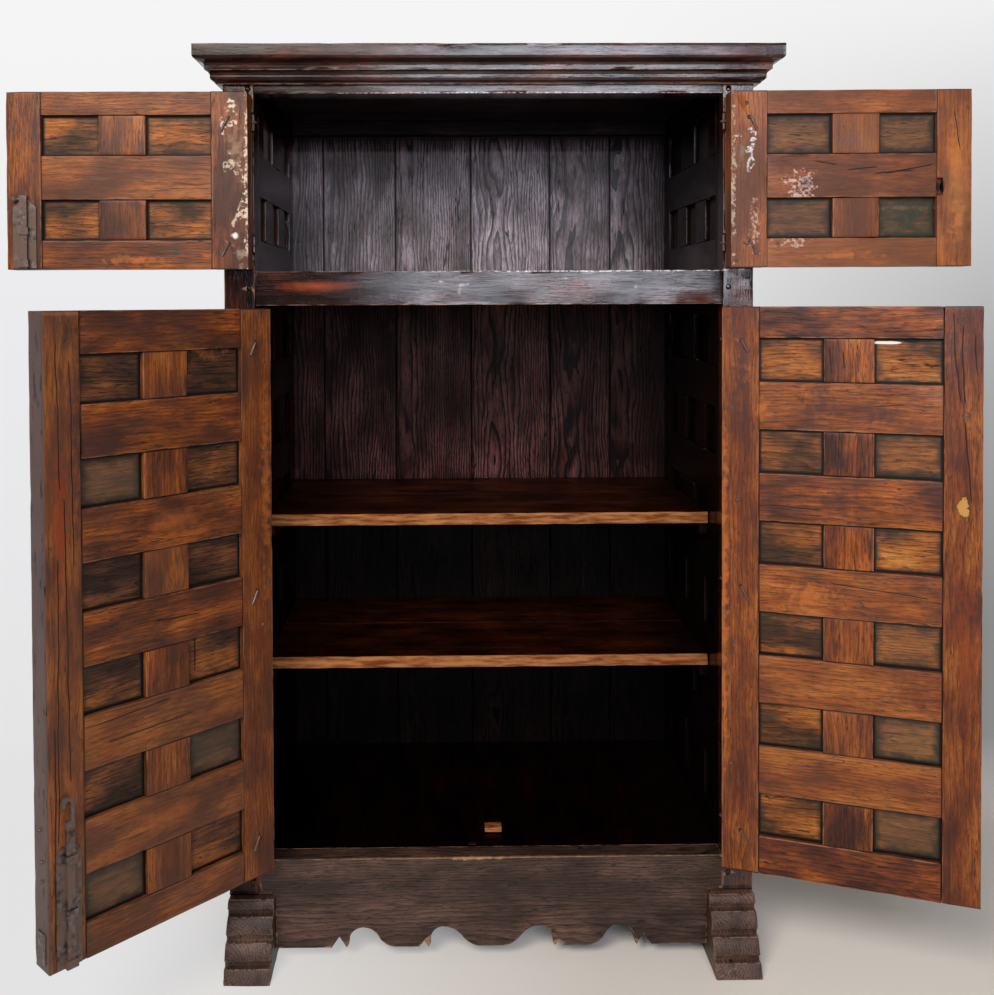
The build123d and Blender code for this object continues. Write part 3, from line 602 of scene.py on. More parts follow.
APRON_MARKS = [(0, 208, 440, 3, "#a07858", 0.9, 0.3), (-30, 206, 60, 4, "#b88a60", 0.9, 0.6)]
RAIL_MARKS = [
    (-343, 1354, 90, 14, "#8a3c1c", 0.9, 0.15), (-95, 1362, 7, 3, "#8d7f7a", 0.9, 0.9),
    (-60, 1340, 4, 9, "#8d7f7a", 0.9, 0.9), (-52, 1356, 12, 3, "#8d7f7a", 0.8, 0.9),
    (150, 1368, 9, 2, "#8d7f7a", 0.8, 0.9), (290, 1350, 4, 7, "#8d7f7a", 0.7, 0.9),
    # The long pale line along the mid rail's top edge, at z 1384, is wear and painted highlight.
    (190, 1384, 330, 3, CHALK, 0.8, 0.3), (60, 1734, 420, 3, CHALK, 0.6, 0.3),
]


# Patches and ripples of the wax along and across the grain in millimetres, and where along the
# case it is worn off and where it is whole.
WAX_PATCH, WAX_RIPPLE, PATCH_EDGE = (120, 24), (9, 24), (0.36, 0.62)
WAX_WORN, WAX_WHOLE = -310 * MM, -120 * MM


def waxed_carcass():
    """Pine frame stained near black and waxed: dark red in the light, glossy."""
    palette = [(0.30, "#160b08"), (0.45, "#291511"), (0.56, "#3c1f18"), (0.70, "#54291c")]

    def over(tree, colour, height):
        spot = shut_spot(tree)
        colour = marked(tree, spot, colour, RAIL_MARKS, CASE_FRONT)
        # Painted shade inside the case, which also dulls the shine there.
        colour, shine = painted_shade(tree, spot, colour, CASE_PAINTED_SHADE)
        place = add(tree, "Attribute", {"attribute_name": "grain"}, out=1)
        kept = add(tree, "MapRange", {}, (streaks(tree, place, *WAX_PATCH), *PATCH_EDGE))
        kept = add(tree, "Math", "MULTIPLY_ADD", (kept, 0.5, 0.5))
        handled = add(tree, "MapRange", {}, (spot["x"], WAX_WORN, WAX_WHOLE))
        handled = add(tree, "Math", "MULTIPLY_ADD", (handled, 0.75, 0.25))
        ripple = streaks(tree, place, *WAX_RIPPLE, 2.0)
        height = add(tree, "Math", "MULTIPLY_ADD", (ripple, 0.9, height))
        return colour, height, product(tree, shine, kept, handled)

    return old_wood(
        "waxed_black_pine", palette, "#83604b", "#080403", 0.15, 0.72, contrast=0.8, over=over,
        wear=(2.2, 0.6), deep=0.2,
    )


def dry_pine():
    """The same pine low down, where the wax has gone: brown and dull, and its rings show."""
    palette = [(0.30, "#35241c"), (0.45, "#46322a"), (0.56, "#543d33"), (0.72, "#644a3c")]

    def over(tree, colour, height):
        spot = shut_spot(tree)
        colour = marked(tree, spot, colour, APRON_MARKS, CASE_FRONT)
        return colour, height, None

    return old_wood(
        "dry_brown_pine", palette, "#8a6a50", "#080403", 0.5, 0.3, ring=0.35, contrast=0.62,
        over=over, wear=(2.2, 0.6),
    )


# Dull clouds and dark scars of the lower left door along and across the grain in millimetres, and
# how far from the middle of the case its meeting edge is told from its face.
DULL_CLOUD, CLOUD_EDGE = (150, 70), (0.48, 0.62)
SCAR, SCAR_EDGE = (46, 12), (0.60, 0.64)
MEETING_EDGE = (4.2 * MM, 3.4 * MM)
# The tones over which a stile or rail of a door fades, and by how much; a split is a groove.
FADED_TONES, FADED_MORE = (0.35, 0.95), 0.35
SPLIT_HEIGHT = -3.0


def door_frames(name, marks, splits, brown, depth, greyed=False):
    """Door stiles and rails of red-brown pine, cloudy with dark wax, with rubbed edges.

    brown is how far the red has faded to brown, and depth how bright a door is kept, partly its
    wood and partly painted light and shade.
    """
    palette = [
        (0.34, "#3c1c13"), (0.43, "#5e2d17"), (0.50, "#7c3e18"), (0.57, "#934b16"),
        (0.68, "#ae6426"),
    ]

    def over(tree, colour, height):
        spot = shut_spot(tree)
        faded = add(tree, "Attribute", {"attribute_name": "tone"}, out=2)
        faded = add(tree, "MapRange", {}, (faded, *FADED_TONES))
        faded = add(tree, "Math", "MULTIPLY_ADD", (faded, FADED_MORE, brown))
        colour = add(tree, "Mix", COLOURS, {0: faded, 6: colour, 7: "#6c4229"}, out=2)
        # Scaling by depth is partly painted light and shade of each door.
        colour = add(tree, "VectorMath", "SCALE", {0: colour, "Scale": depth})
        colour = marked(tree, spot, colour, marks, INNER_FACE)
        for start, end in splits:
            line = split_line(tree, spot, start, end)
            colour = add(tree, "Mix", COLOURS, {0: line, 6: colour, 7: DIRT}, out=2)
            height = add(tree, "Math", "MULTIPLY_ADD", (line, SPLIT_HEIGHT, height))
        if greyed:
            place = add(tree, "Attribute", {"attribute_name": "grain"}, out=1)
            clouds = streaks(tree, place, *DULL_CLOUD, 3.0, 0.6)
            clouds = product(tree, add(tree, "MapRange", {}, (clouds, *CLOUD_EDGE)), 0.5)
            colour = add(tree, "Mix", COLOURS, {0: clouds, 6: colour, 7: "#33211f"}, out=2)
            edge = add(tree, "Math", "ABSOLUTE", (spot["x"],))
            edge = add(tree, "MapRange", {}, (edge, *MEETING_EDGE))
            grey = product(tree, edge, 0.85)
            colour = add(tree, "Mix", COLOURS, {0: grey, 6: colour, 7: "#4a3a38"}, out=2)
            scars = streaks(tree, place, *SCAR, 3.0, 0.6)
            scars = product(tree, edge, add(tree, "MapRange", {}, (scars, *SCAR_EDGE)), 0.9)
            colour = add(tree, "Mix", COLOURS, {0: scars, 6: colour, 7: BLACK}, out=2)
        return colour, height, None

    return old_wood(
        name, palette, "#a0684a", "#0e0605", 0.42, 0.25, over=over, checks=0.9 if greyed else 0.4
    )


PANEL_PALETTE = [
    (0.32, "#3a2413"), (0.43, "#613a1c"), (0.51, "#82491e"), (0.60, "#955722"), (0.72, "#a5682e"),
]
# A darker copy of the panel palette for the lower left door: partly its wood, partly painted shade
# for how that door faces the lamps.
DIM_PALETTE = [
    (0.32, "#2a1a12"), (0.43, "#452a1b"), (0.51, "#5c3620"), (0.60, "#74431f"), (0.72, "#8a5228"),
]
SIDE_PALETTE = [(0.30, "#1c110d"), (0.45, "#33211b"), (0.56, "#46302a"), (0.72, "#5e4840")]
# Darkening of a panel towards its frame, in millimetres from it: how far it reaches in, torn by
# clouds of one size, and further on a board of a high tone. Boards of high tones are greyer all
# over.
FRAME_DARK_CLOUD, FRAME_DARK_TORN, FRAME_DARK_BY_TONE, FRAME_DARK_REACH = 22, 34.0, -12.0, (25.0, 10.0)
# Painted shade in the recess along the frame: it fades in from 6 mm and is full by 2 mm from the
# frame.
RECESS_PAINTED_SHADE = (6.0, 2.0)
GREY_TONES = (0.60, 0.80)


def greyed_panels(name, palette, marks=(), inside_shade=None):
    """Panels of browner pine: rubbed in the middle, grey-green and darker towards their frame, with
    painted shade in the recess along it.
    """

    def over(tree, colour, height):
        spot = shut_spot(tree)
        tone, rim, end = (
            add(tree, "Attribute", {"attribute_name": mark}, out=2)
            for mark in ("tone", "rim", "end")
        )
        near = add(tree, "Math", "MINIMUM", (rim, end))
        torn = {"Vector": spot["vector"], "Scale": 1000 / FRAME_DARK_CLOUD, "Detail": 4.0}
        torn = add(tree, "TexNoise", {}, torn)
        reach = add(tree, "Math", "MULTIPLY_ADD", (torn, FRAME_DARK_TORN, near))
        reach = add(tree, "Math", "MULTIPLY_ADD", (tone, FRAME_DARK_BY_TONE, reach))
        grey = product(tree, add(tree, "MapRange", {}, (tone, *GREY_TONES)), 0.65)
        colour = add(tree, "Mix", COLOURS, {0: grey, 6: colour, 7: "#453b30"}, out=2)
        frame_dark = product(tree, add(tree, "MapRange", {}, (reach, *FRAME_DARK_REACH)), 0.9)
        colour = add(tree, "Mix", COLOURS, {0: frame_dark, 6: colour, 7: "#2b271f"}, out=2)
        # Painted shade in the recess, near black along the frame.
        painted_shade_mask = add(tree, "MapRange", {}, (near, *RECESS_PAINTED_SHADE))
        colour = add(tree, "Mix", COLOURS, {0: painted_shade_mask, 6: colour, 7: "#0d0907"}, out=2)
        colour = marked(tree, spot, colour, marks, INNER_FACE - PANEL_RECESS)
        if not inside_shade:
            return colour, height, None
        # Inside the case, the side panels above the mid rail get a painted pale sheen; painted
        # shade follows.
        inner = add(tree, "Math", "ABSOLUTE", (spot["x"],))
        inner = add(tree, "MapRange", {}, (inner, INSIDE_SIDE + INSIDE_FADE, INSIDE_SIDE))
        upper = add(tree, "MapRange", {}, (spot["z"], SHINE_FROM, SHINE_FROM + INSIDE_FADE))
        pale = product(tree, inner, upper, 0.75)
        colour = add(tree, "Mix", COLOURS, {0: pale, 6: colour, 7: "#b9b0b4"}, out=2)
        colour, shine = painted_shade(tree, spot, colour, inside_shade)
        return colour, height, shine

    # The near-black colour given as worn, over the first millimetres from the frame, is painted
    # shade in the recess.
    return old_wood(
        name, palette, "#0d0907", "#0a0504", 0.5, 0.22, contrast=0.9, wear=(6.0, 2.0),
        rubbing=(0.1, 0.2), over=over, checks=0.35,
    )


def back_planks():
    """Unwaxed back boards gone purple-grey with age, with painted shade that makes them redder and
    darker low down.
    """
    palette = [(0.30, "#44312f"), (0.44, "#68565a"), (0.56, "#84727a"), (0.72, "#a29096")]

    def over(tree, colour, height):
        colour, shine = painted_shade(tree, shut_spot(tree), colour, BACK_PAINTED_SHADE)
        return colour, height, shine

    return old_wood(
        "grey_aged_pine", palette, "#1c1314", "#0b0605", 0.46, ring=0.55, over=over, deep=0.6,
        rubbing=(0.1, 0.2),
    )


# The front edges of the shelves, where they are rubbed, and the streaks they are rubbed in.
SHELF_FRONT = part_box("upper_shelf")[0].y
RUBBED_FROM, RUBBED_TO = SHELF_FRONT + 2 * MM, SHELF_FRONT + 4 * MM
SHELVES_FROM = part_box("lower_shelf")[0].z - 8 * MM
SHELVES_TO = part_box("upper_shelf")[1].z + 8 * MM
RUBBED_STREAK = (60, 8)


def shelf_planks():
    """Shelves and floors of dark brown pine, bare and orange where hands rub the front."""
    palette = [(0.30, "#2a140a"), (0.45, "#43220f"), (0.58, "#5c2f15"), (0.72, "#7a4320")]

    def over(tree, colour, height):
        spot = shut_spot(tree)
        place = add(tree, "Attribute", {"attribute_name": "grain"}, out=1)
        warm = streaks(tree, place, *RUBBED_STREAK)
        bare = add(tree, "ValToRGB", {"stops": [(0.38, "#663418"), (0.62, "#a06a40")]}, (warm,))
        edge = product(
            tree,
            add(tree, "MapRange", {}, (spot["y"], RUBBED_TO, RUBBED_FROM)),
            add(tree, "MapRange", {}, (spot["z"], SHELVES_FROM, SHELVES_FROM + INSIDE_FADE)),
            add(tree, "MapRange", {}, (spot["z"], SHELVES_TO, SHELVES_TO - INSIDE_FADE)),
        )
        # Painted shade inside the case darkens the shelves and floors; the rubbed front edge is
        # left out of it.
        colour, shine = painted_shade(tree, spot, colour, SHELF_PAINTED_SHADE)
        return add(tree, "Mix", COLOURS, {0: edge, 6: colour, 7: bare}, out=2), height, shine

    return old_wood("dark_brown_pine", palette, "#6a4026", "#0a0504", 0.40, 0.3, over=over)


def rubbed_chock():
    """A block of the same pine, rubbed bright orange by pots pushed past it."""
    palette = [(0.30, "#4a2414"), (0.48, "#8a4526"), (0.60, "#a85c34"), (0.75, "#c08058")]
    return old_wood("rubbed_orange_pine", palette, "#c89070", "#1c0e08", 0.40)


# Hammer scale and rust on the irons: the size of each in millimetres, and where rust begins.
SCALE_SIZE, RUST_SIZE, RUST_EDGE = 9, 26, (0.40, 0.58)
HAMMER_DEPTH = 0.6 * MM


def forged_iron():
    """Hammered iron, dark with scale and brown with old rust."""
    material, tree = new_tree("forged_iron")
    place = add(tree, "TexCoord", out=3)
    mottle = {"Vector": place, "Scale": 1000 / SCALE_SIZE, "Detail": 4.0}
    mottle = add(tree, "TexNoise", {}, mottle)
    rust = add(tree, "TexNoise", {}, {"Vector": place, "Scale": 1000 / RUST_SIZE, "Detail": 3.0})
    rust = add(tree, "MapRange", {}, (rust, *RUST_EDGE))
    colour = add(tree, "ValToRGB", {"stops": [(0.3, "#3a3230"), (0.7, "#7c706a")]}, (mottle,))
    colour = add(tree, "Mix", COLOURS, {0: rust, 6: colour, 7: "#5a4438"}, out=2)
    metal = add(tree, "Math", "MULTIPLY_ADD", (rust, -0.75, 0.85))
    rough = add(tree, "Math", "MULTIPLY_ADD", (rust, 0.25, 0.40))
    bump = add(tree, "Bump", {}, {"Strength": 0.5, "Distance": HAMMER_DEPTH, "Height": mottle})
    shader = add(
        tree, "BsdfPrincipled", {},
        {"Base Color": colour, "Metallic": metal, "Roughness": rough, "Normal": bump},
    )
    add(tree, "OutputMaterial", {}, (shader,), out=slice(0, 0))
    return material


# Marks of each door, and its splits, each from one (x, z) to a greater one, in millimetres.
door_marks = {
    "lower_left": [
        (-429, 760, 56, 2000, OXBLOOD, 0.3, 0.25),
        (-300, 1180, 70, 22, PLUM, 0.7, 0.9), (-250, 930, 60, 26, ORANGE, 0.35, 0.3),
        (-330, 560, 70, 18, ORANGE, 0.4, 0.3), (-230, 400, 80, 24, ORANGE, 0.35, 0.3),
        (-60, 1120, 14, 160, PLUM, 0.75, 0.9), (-30, 960, 16, 160, "#7a2c14", 0.7, 0.9),
        (-36, 480, 20, 90, ORANGE, 0.4, 0.4), (-450, 1000, 12, 220, ORANGE, 0.45, 0.9),
        (-365, 416, 12, 9, DIRT, 0.7, 0.8), (-30, 1306, 45, 5, "#97694a", 0.85, 0.3),
    ],
    "lower_right": [
        (35, 760, 54, 2000, OXBLOOD, 0.5, 0.25), (429, 760, 56, 2000, OXBLOOD, 0.5, 0.25),
        (34, 942, 8, 20, OCHRE, 0.9, 0.7), (315, 1133, 18, 10, DIRT, 0.55, 1.0),
        (385, 1120, 20, 26, ORANGE, 0.6, 0.9), (280, 1130, 30, 40, PLUM, 0.6, 0.9),
        (180, 1110, 34, 30, PLUM, 0.6, 0.9), (250, 940, 60, 24, PLUM, 0.5, 0.9),
        (300, 760, 60, 22, ORANGE, 0.6, 0.9), (459, 760, 9, 330, ORANGE, 0.7, 0.9),
        (446, 1114, 8, 10, RUST, 0.8, 0.8), (434, 936, 8, 12, RUST, 0.8, 0.8),
        (30, 700, 20, 160, "#7a3218", 0.6, 0.9), (60, 1240, 26, 60, PLUM, 0.6, 0.9),
        (425, 1180, 22, 90, PLUM, 0.7, 0.9), (200, 1130, 150, 50, OXBLOOD, 0.35, 0.6),
        (240, 940, 170, 50, OXBLOOD, 0.3, 0.6), (110, 590, 120, 50, OXBLOOD, 0.4, 0.6),
    ],
    "upper_left": [
        (-431, 1694, 9, 18, CREAM, 0.95, 1.1), (-436, 1668, 9, 9, CREAM, 0.9, 1.1),
        (-416, 1664, 5, 14, CREAM, 0.85, 1.1), (-440, 1620, 16, 44, "#8a6850", 0.8, 1.0),
        (-428, 1588, 10, 12, CREAM, 0.7, 1.2), (-446, 1572, 7, 18, CREAM, 0.85, 1.1),
        (-461, 1560, 5, 170, CREAM, 0.9, 0.7), (-452, 1510, 6, 24, CREAM, 0.85, 1.1),
        (-439, 1476, 5, 14, CREAM, 0.7, 1.1), (-436, 1452, 7, 7, "#e8e4dc", 1.0, 0.6),
        (-450, 1412, 12, 22, "#8a7460", 0.8, 1.1), (-323, 1422, 12, 8, "#2f352a", 0.9, 0.6),
        (-250, 1405, 60, 9, ORANGE, 0.8, 0.8), (-60, 1640, 12, 60, PLUM, 0.4, 0.9),
    ],
    "upper_right": [
        (424, 1612, 7, 34, CHALK, 0.9, 1.1), (449, 1643, 8, 5, CHALK, 0.9, 0.9),
        (443, 1612, 7, 20, "#6f6d58", 0.85, 0.9), (437, 1655, 8, 22, "#5d2e1a", 0.7, 0.9),
        (430, 1540, 12, 28, "#5a2c1c", 0.8, 1.0), (418, 1470, 10, 40, PALE, 0.6, 1.2),
        (458, 1560, 5, 150, CREAM, 0.5, 0.9), (328, 1541, 27, 27, PALE, 0.85, 1.0),
        (318, 1548, 14, 16, "#1c0f0c", 0.7, 0.6), (342, 1436, 26, 8, PALE, 0.7, 1.5),
        (372, 1434, 9, 8, DIRT, 0.8, 0.8), (230, 1628, 28, 22, "#6a4a40", 0.6, 0.9),
        (250, 1410, 70, 8, ORANGE, 0.6, 0.9), (35, 1600, 14, 60, ORANGE, 0.6, 0.9),
        (30, 1470, 16, 40, ORANGE, 0.7, 0.9), (50, 1560, 9, 40, PLUM, 0.8, 0.9),
        # At x 62 the black mark is painted shade in the latch mortise.
        (62, 1541, 9, 16, BLACK, 1.0, 0.02), (28, 1540, 34, 170, "#b47440", 0.5, 0.3),
        (60, 1420, 10, 60, "#b06a34", 0.6, 0.3),
    ],
}
door_splits = {
    "lower_left": [
        ((-22, 420), (-26, 900)), ((-44, 520), (-38, 1000)), ((-54, 880), (-50, 1230)),
        ((-30, 1010), (-26, 1260)), ((-14, 240), (-18, 620)),
        ((-285, 574), (-110, 568)), ((-240, 612), (-90, 604)), ((-300, 752), (-200, 758)),
    ],
    "lower_right": [
        ((41, 1131), (54, 1300)), ((21, 950), (33, 1104)), ((34, 1130), (37, 1275)),
        ((12, 1180), (16, 1260)), ((262, 1180), (264, 1235)), ((238, 1190), (240, 1228)),
        ((90, 772), (267, 788)), ((280, 925), (380, 930)), ((130, 1128), (190, 1124)),
    ],
    "upper_left": [],
    "upper_right": [
        ((24, 1610), (36, 1690)), ((72, 1584), (166, 1566)), ((179, 1580), (242, 1574)),
        ((110, 1572), (190, 1566)), ((258, 1584), (304, 1592)),
    ],
}

# How far the red of each door has faded to brown, and how bright it is kept: partly its wood,
# partly painted light and shade for how each door faces the lamps.
door_fading_and_painted_light = {
    "lower_left": (0.25, 0.74), "lower_right": (0.05, 0.92),
    "upper_left": (0.25, 0.85), "upper_right": (0.45, 1.15),
}

# ---- Pieces -------------------------------------------------------------------------------
BOARD_STEP = 34 * MM
PANEL_TONGUE = 7.0
PANEL_RECESS = 12 * MM
doors = ("lower_left", "lower_right", "upper_left", "upper_right")
feet = ("left_foot", "right_foot")

dry = dry_pine()
finishes = {
    "carcass_wood": waxed_carcass(),
    "back_wood": back_planks(),
    "shelf_wood": shelf_planks(),
    "wrought_iron": forged_iron(),
    # The side panels take a painted sheen and painted shade inside the case.
    "panel_wood": greyed_panels("greyed_pine_of_the_sides", SIDE_PALETTE, inside_shade=CASE_PAINTED_SHADE),
    "floor_chock": rubbed_chock(),
    **{node: dry for node in (*feet, "apron")},
}
knots = [
    (-150, 838, 15, 5, DIRT, 1.0, 0.6), (-118, 846, 10, 6, DIRT, 1.0, 0.6),
    (-132, 827, 20, 4, DIRT, 0.9, 0.6), (-330, 1258, 60, 40, ORANGE, 0.4, 0.9),
    (-294, 681, 2.0, 40, BLACK, 0.8, 0.2),
]
splinter = [(167, 1243, 32, 3, BARE, 1.0, 0.1), (118, 1246, 24, 3, BLACK, 0.9, 0.4)]
green = [(127, 1478, 80, 60, "#2c3626", 0.9, 0.6), (127, 1500, 60, 6, "#6b5a42", 0.6, 0.9)]
for door in doors:
    finishes[door + "_frame"] = door_frames(
        "stained_red_pine_" + door, door_marks[door], door_splits[door], *door_fading_and_painted_light[door],
        greyed=door == "lower_left",
    )
    finishes[door + "_panels"] = greyed_panels(
        "greyed_pine_" + door,
        DIM_PALETTE if door == "lower_left" else PANEL_PALETTE,
        marks={"upper_right": green, "lower_left": knots, "lower_right": splinter}.get(door, ()),
    )


def finish_of(node):
    """Material of a wooden or iron node."""
    for door in doors:
        if node.startswith(door) and node_slot(node) in ("door_wood", "panel_wood"):
            return finishes[door + ("_panels" if node.endswith("panels") else "_frame")]
    return finishes.get(node, finishes[node_slot(node)])


def wear_of(node):
    """How the grain and wear of a wooden node differ from the common ones."""
    if "muntins" in node:
        return {"grain": "z"}
    if node.endswith("panels"):
        tones = (0.72, 1.0) if node.startswith("upper_right") else (0.0, 1.0)
        return {"grain": "y" if "side" in node else "x", "frame_edge": PANEL_TONGUE, "tones": tones}
    if node in feet:
        return {"grain": "y", "all_rim": True, "chips": 1.6}
    if node == "apron":
        return {"all_rim": True}
    if "boards" in node or "shelf" in node:
        return {"step": BOARD_STEP, "snug": "boards" in node}
    return {}


for node, part in frame["nodes"].items():
    if node_slot(node) == "wrought_iron":
        part.data.materials[0] = finish_of(node)
    else:
        worn_piece(node, **wear_of(node)).data.materials.append(finish_of(node))


RING_WIRE = 1.3 * MM
RING_STEPS = 24


def small_irons(name, body, heads, rings=(), straps=()):
    """Nail heads, wire rings and flat straps on a shut door; lengths are in millimetres.

    heads are x, y, z, radius; rings are x, z, radius, part of a turn; straps are a middle and
    sizes. y is the depth behind the front of the case.
    """
    bm = bmesh.new()
    for x, y, z, radius in heads:
        place = Matrix.Translation((x * MM, CASE_FRONT + y * MM, z * MM))
        bmesh.ops.create_uvsphere(bm, u_segments=12, v_segments=8, radius=radius * MM, matrix=place)
    for x, z, radius, part in rings:
        middle = Vector((x * MM, INNER_FACE, z * MM))
        start = Matrix.Translation(middle + Vector((radius * MM, 0, 0)))
        wire = bmesh.ops.create_circle(
            bm, cap_ends=True, segments=8, radius=RING_WIRE, matrix=start
        )["verts"]
        edges = {edge for vert in wire for edge in vert.link_edges}
        faces = {face for vert in wire for face in vert.link_faces}
        parts = wire + sorted(edges, key=lambda e: e.index) + sorted(faces, key=lambda f: f.index)
        bmesh.ops.spin(
            bm, geom=parts, cent=middle, axis=(0, 1, 0), angle=math.tau * part, steps=RING_STEPS
        )
    for middle, size in straps:
        place = Matrix.Diagonal([v * MM for v in size] + [1])
        place = Matrix.Translation([v * MM for v in middle]) @ place
        place = Matrix.Translation((0, CASE_FRONT, 0)) @ place
        bmesh.ops.create_cube(bm, size=1.0, matrix=place)
    bmesh.ops.recalc_face_normals(bm, faces=bm.faces)
    bm.transform(shut_place(body).inverted())
    mesh = bpy.data.meshes.new(name)
    bm.to_mesh(mesh)
    bm.free()
    mesh.shade_smooth()
    mesh.set_sharp_from_angle(angle=SMOOTH_ANGLE)
    mesh.materials.append(finishes["wrought_iron"])
    piece = bpy.data.objects.new(name, mesh)
    bpy.context.scene.collection.objects.link(piece)
    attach(piece, body)


small_irons(
    "lower_right_nails", "lower_right_door",
    [
        (446, 49, 1114, 4), (434, 49, 936, 4), (452, 49, 1292, 3), (440, 49, 660, 3.5),
        (446, 49, 420, 4),
    ],
    rings=[(38, 1286, 6, 0.85), (31, 1112, 6, 0.8), (447, 1268, 7, 0.6)],
)
small_irons(
    "upper_right_nails", "upper_right_door",
    [(433, 49, 1704, 4), (10, 49, 1692, 3), (452, 49, 1400, 3)],
    rings=[(432, 1437, 6, 0.8)],
)
small_irons(
    "lower_left_nails", "lower_left_door",
    [
        (-2.5, 20, 446, 3.5), (-2.5, 26, 394, 3.5), (-2.5, 26, 361, 3.5),
        (-446, 49, 1040, 4), (-440, 49, 700, 3.5),
    ],
    straps=[((-1.6, 25, 250), (1.6, 26, 52))],
)

# ---- Stage --------------------------------------------------------------------------------
# The wall stands behind the floor and a cove joins them; the right of the wall falls into shade,
# from CORNER_FROM to CORNER_TO, and is pale again at CORNER_END. The left of the floor glows.
FLOOR_REACH = 5.0
WALL_Y = 0.60
WALL_HEIGHT = 4.0
COVE_RADIUS = 0.18
COVE_STEPS = 12
CORNER_FROM, CORNER_TO, CORNER_END, CORNER_TOP = 0.3, 1.35, 2.6, 2.1
GLOW_FROM, GLOW_TO = 0.2, -0.8
LIFT_FROM, LIFT_TO = 0.05, 2.0
FLOOR_GLOW = 0.95


def pale_stage():
    """Floor that runs up into a wall, off-white; the wall is as pale as it looks.

    Matt paper, without any gloss. From behind, the wall and floor are clear, so that the back of
    the cupboard can be seen.
    """
    bm = bmesh.new()
    lane = [bm.verts.new((-FLOOR_REACH, y, 0)) for y in (-FLOOR_REACH, WALL_Y - COVE_RADIUS)]
    for i in range(1, COVE_STEPS + 1):
        turn = math.radians(90 * i / COVE_STEPS)
        y = WALL_Y - COVE_RADIUS + COVE_RADIUS * math.sin(turn)
        lane.append(bm.verts.new((-FLOOR_REACH, y, COVE_RADIUS * (1 - math.cos(turn)))))
    lane.append(bm.verts.new((-FLOOR_REACH, WALL_Y, WALL_HEIGHT)))
    edges = [bm.edges.new(pair) for pair in zip(lane[:-1], lane[1:])]
    swept = bmesh.ops.extrude_edge_only(bm, edges=edges)["geom"]
    moved = [g for g in swept if isinstance(g, bmesh.types.BMVert)]
    bmesh.ops.translate(bm, verts=moved, vec=(2 * FLOOR_REACH, 0, 0))
    bm.normal_update()
    if sum(face.normal.z for face in bm.faces) < 0:
        bmesh.ops.reverse_faces(bm, faces=bm.faces[:])
    mesh = bpy.data.meshes.new("stage")
    bm.to_mesh(mesh)
    bm.free()
    mesh.shade_smooth()
    stage = bpy.data.objects.new("stage", mesh)
    bpy.context.scene.collection.objects.link(stage)
    material, tree = new_tree("stage_paper")
    place = add(tree, "TexCoord", out=3)
    across, _, level = add(tree, "SeparateXYZ", {}, (place,), out=slice(0, 3))
    # For the camera, the wall is painted darker low down and paler high up: painted shade.
    lift = add(tree, "MapRange", {}, (level, LIFT_FROM, LIFT_TO))
    stops = [(0.0, "#e4e4e5"), (0.65, "#ebebed"), (1.0, "#f5f5f5")]
    shade = add(tree, "ValToRGB", {"stops": stops}, (lift,))
    stops = [
        (0.0, "#dcdcdc"), (0.22, "#dcdcdc"), (0.5, "#c4c4c4"), (0.85, "#808080"), (1.0, "#404040"),
    ]
    # Painted shadow of the cupboard on the lower right of the wall.
    fall = add(tree, "Math", "DIVIDE", (level, CORNER_TOP))
    fall = add(tree, "ValToRGB", {"stops": stops}, (fall,))
    painted_shade_mask = product(
        tree, fall, add(tree, "MapRange", {}, (across, CORNER_FROM, CORNER_TO)),
        add(tree, "MapRange", {}, (across, CORNER_END, CORNER_TO)),
    )
    shade = add(tree, "Mix", COLOURS, {0: painted_shade_mask, 6: shade, 7: "#2e2a22"}, out=2)
    glow = add(tree, "Emission", {}, {"Color": shade, "Strength": 1.0})
    paper = add(tree, "BsdfDiffuse", {}, {"Color": "#f0eae0"})
    path = add(tree, "LightPath")
    seen = path
    for name in ("Is Glossy Ray", "Is Transmission Ray"):
        seen = add(tree, "Math", "MAXIMUM", (seen, path.node.outputs[name]))
    lit = add(tree, "MapRange", {}, (across, GLOW_FROM, GLOW_TO))
    lit = product(tree, lit, FLOOR_GLOW)
    risen = add(tree, "MapRange", {}, (level, 0.0, COVE_RADIUS - 0.02))
    lit = add(tree, "Math", "MAXIMUM", (risen, lit))
    wall = add(tree, "Math", "MULTIPLY", (seen, lit))
    both = add(tree, "MixShader", {}, (wall, paper, glow))
    behind = add(tree, "NewGeometry", out=6)
    clear = add(tree, "BsdfTransparent")
    both = add(tree, "MixShader", {}, (behind, both, clear))
    add(tree, "OutputMaterial", {}, (both,), out=slice(0, 0))
    mesh.materials.append(material)


pale_stage()


def soft_box(name, place, target, width, height, power, colour):
    """A large rectangular lamp aimed at a point."""
    lamp = bpy.data.lights.new(name, "AREA")
    lamp.shape = "RECTANGLE"
    lamp.size = width
    lamp.size_y = height
    lamp.energy = power
    lamp.color = linear(colour)[:3]
    holder = bpy.data.objects.new(name, lamp)
    holder.location = place
    holder.rotation_euler = (Vector(target) - Vector(place)).to_track_quat("-Z", "Y").to_euler()
    bpy.context.scene.collection.objects.link(holder)


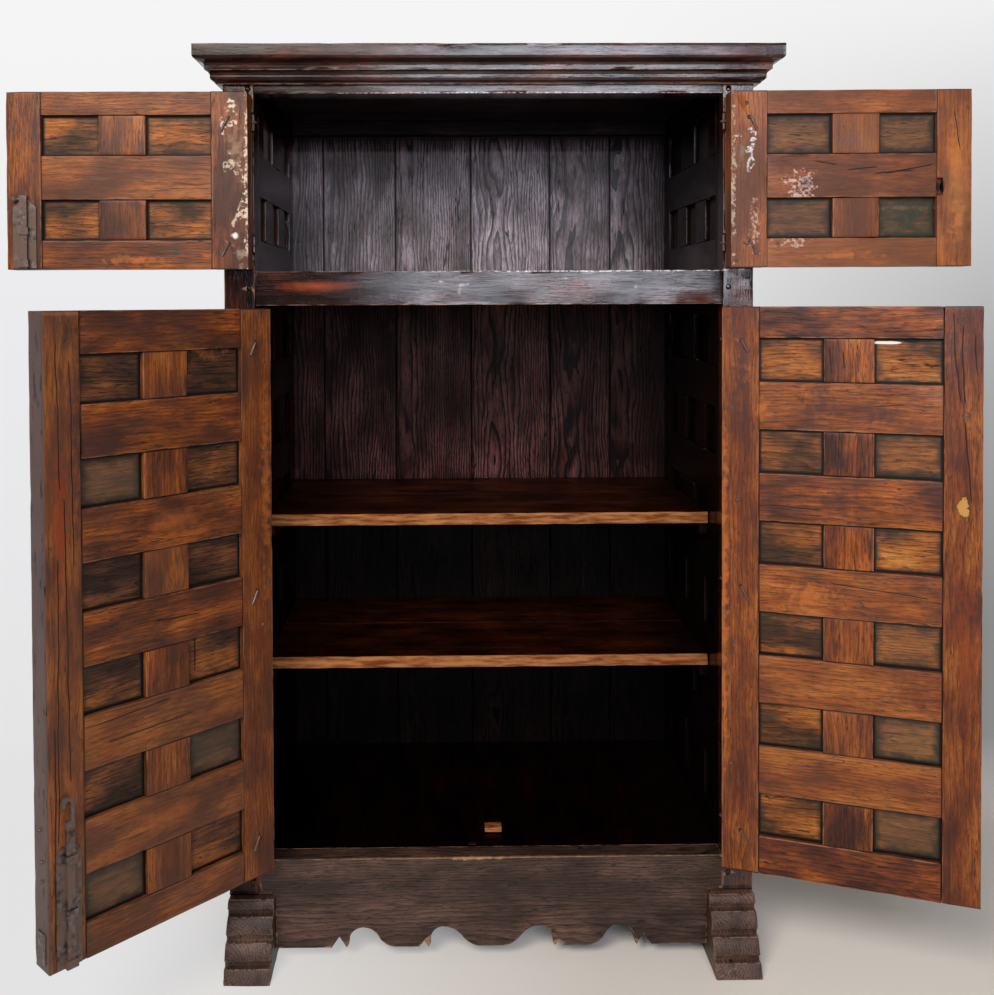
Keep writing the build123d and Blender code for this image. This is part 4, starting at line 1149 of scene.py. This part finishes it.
CASE_MIDDLE = (0.0, 0.1, 1.0)
soft_box("key", (-1.25, -3.0, 2.9), CASE_MIDDLE, 1.5, 1.3, 94, "#fff6ea")
soft_box("window", (0.43, -3.3, 2.0), (0.3, 0.0, 1.3), 1.86, 1.5, 70, "#eef2ff")


def dim_room():
    """A dim room that lights softly from all round, and looks pale to the camera."""
    world = bpy.data.worlds.new("room")
    bpy.context.scene.world = world
    world.use_nodes = True
    tree = world.node_tree
    tree.nodes.clear()
    dim = add(tree, "Background", {}, {"Color": "#e8eaf0", "Strength": 0.11})
    pale = add(tree, "Background", {}, {"Color": "#ebebed", "Strength": 1.0})
    both = add(tree, "MixShader", {}, (add(tree, "LightPath"), dim, pale))
    add(tree, "OutputWorld", {}, (both,), out=slice(0, 0))


dim_room()

# ---- Camera -------------------------------------------------------------------------------
IMAGE_WIDTH, IMAGE_HEIGHT = 994, 995
FOCAL_PIXELS = 1083
CENTRE_PIXEL = (456.6, 322.6)
EYE = Vector((-95.9 * MM, CASE_FRONT - 2148.8 * MM, 1324.8 * MM))
YAW, PITCH, ROLL = 0.0140, 0.0204, -0.0042


def set_camera():
    """Camera at eye height in front of the case, framed by a shift."""
    data = bpy.data.cameras.new("camera")
    data.sensor_fit = "HORIZONTAL"
    data.sensor_width = 36.0
    data.lens = data.sensor_width * FOCAL_PIXELS / IMAGE_WIDTH
    data.shift_x = (IMAGE_WIDTH / 2 - CENTRE_PIXEL[0]) / IMAGE_WIDTH
    data.shift_y = (CENTRE_PIXEL[1] - IMAGE_HEIGHT / 2) / IMAGE_WIDTH
    ahead = Vector((math.sin(YAW), math.cos(YAW), 0))
    right = Vector((math.cos(YAW), -math.sin(YAW), 0))
    up = Vector((0, 0, 1))
    look = ahead * math.cos(PITCH) - up * math.sin(PITCH)
    top = up * math.cos(PITCH) + ahead * math.sin(PITCH)
    side = right * math.cos(ROLL) + top * math.sin(ROLL)
    top = top * math.cos(ROLL) - right * math.sin(ROLL)
    camera = bpy.data.objects.new("camera", data)
    turn = Matrix((side, top, -look)).transposed().to_4x4()
    camera.matrix_world = Matrix.Translation(EYE) @ turn
    bpy.context.scene.collection.objects.link(camera)
    bpy.context.scene.camera = camera


set_camera()
bpy.context.scene.view_settings.view_transform = "Standard"
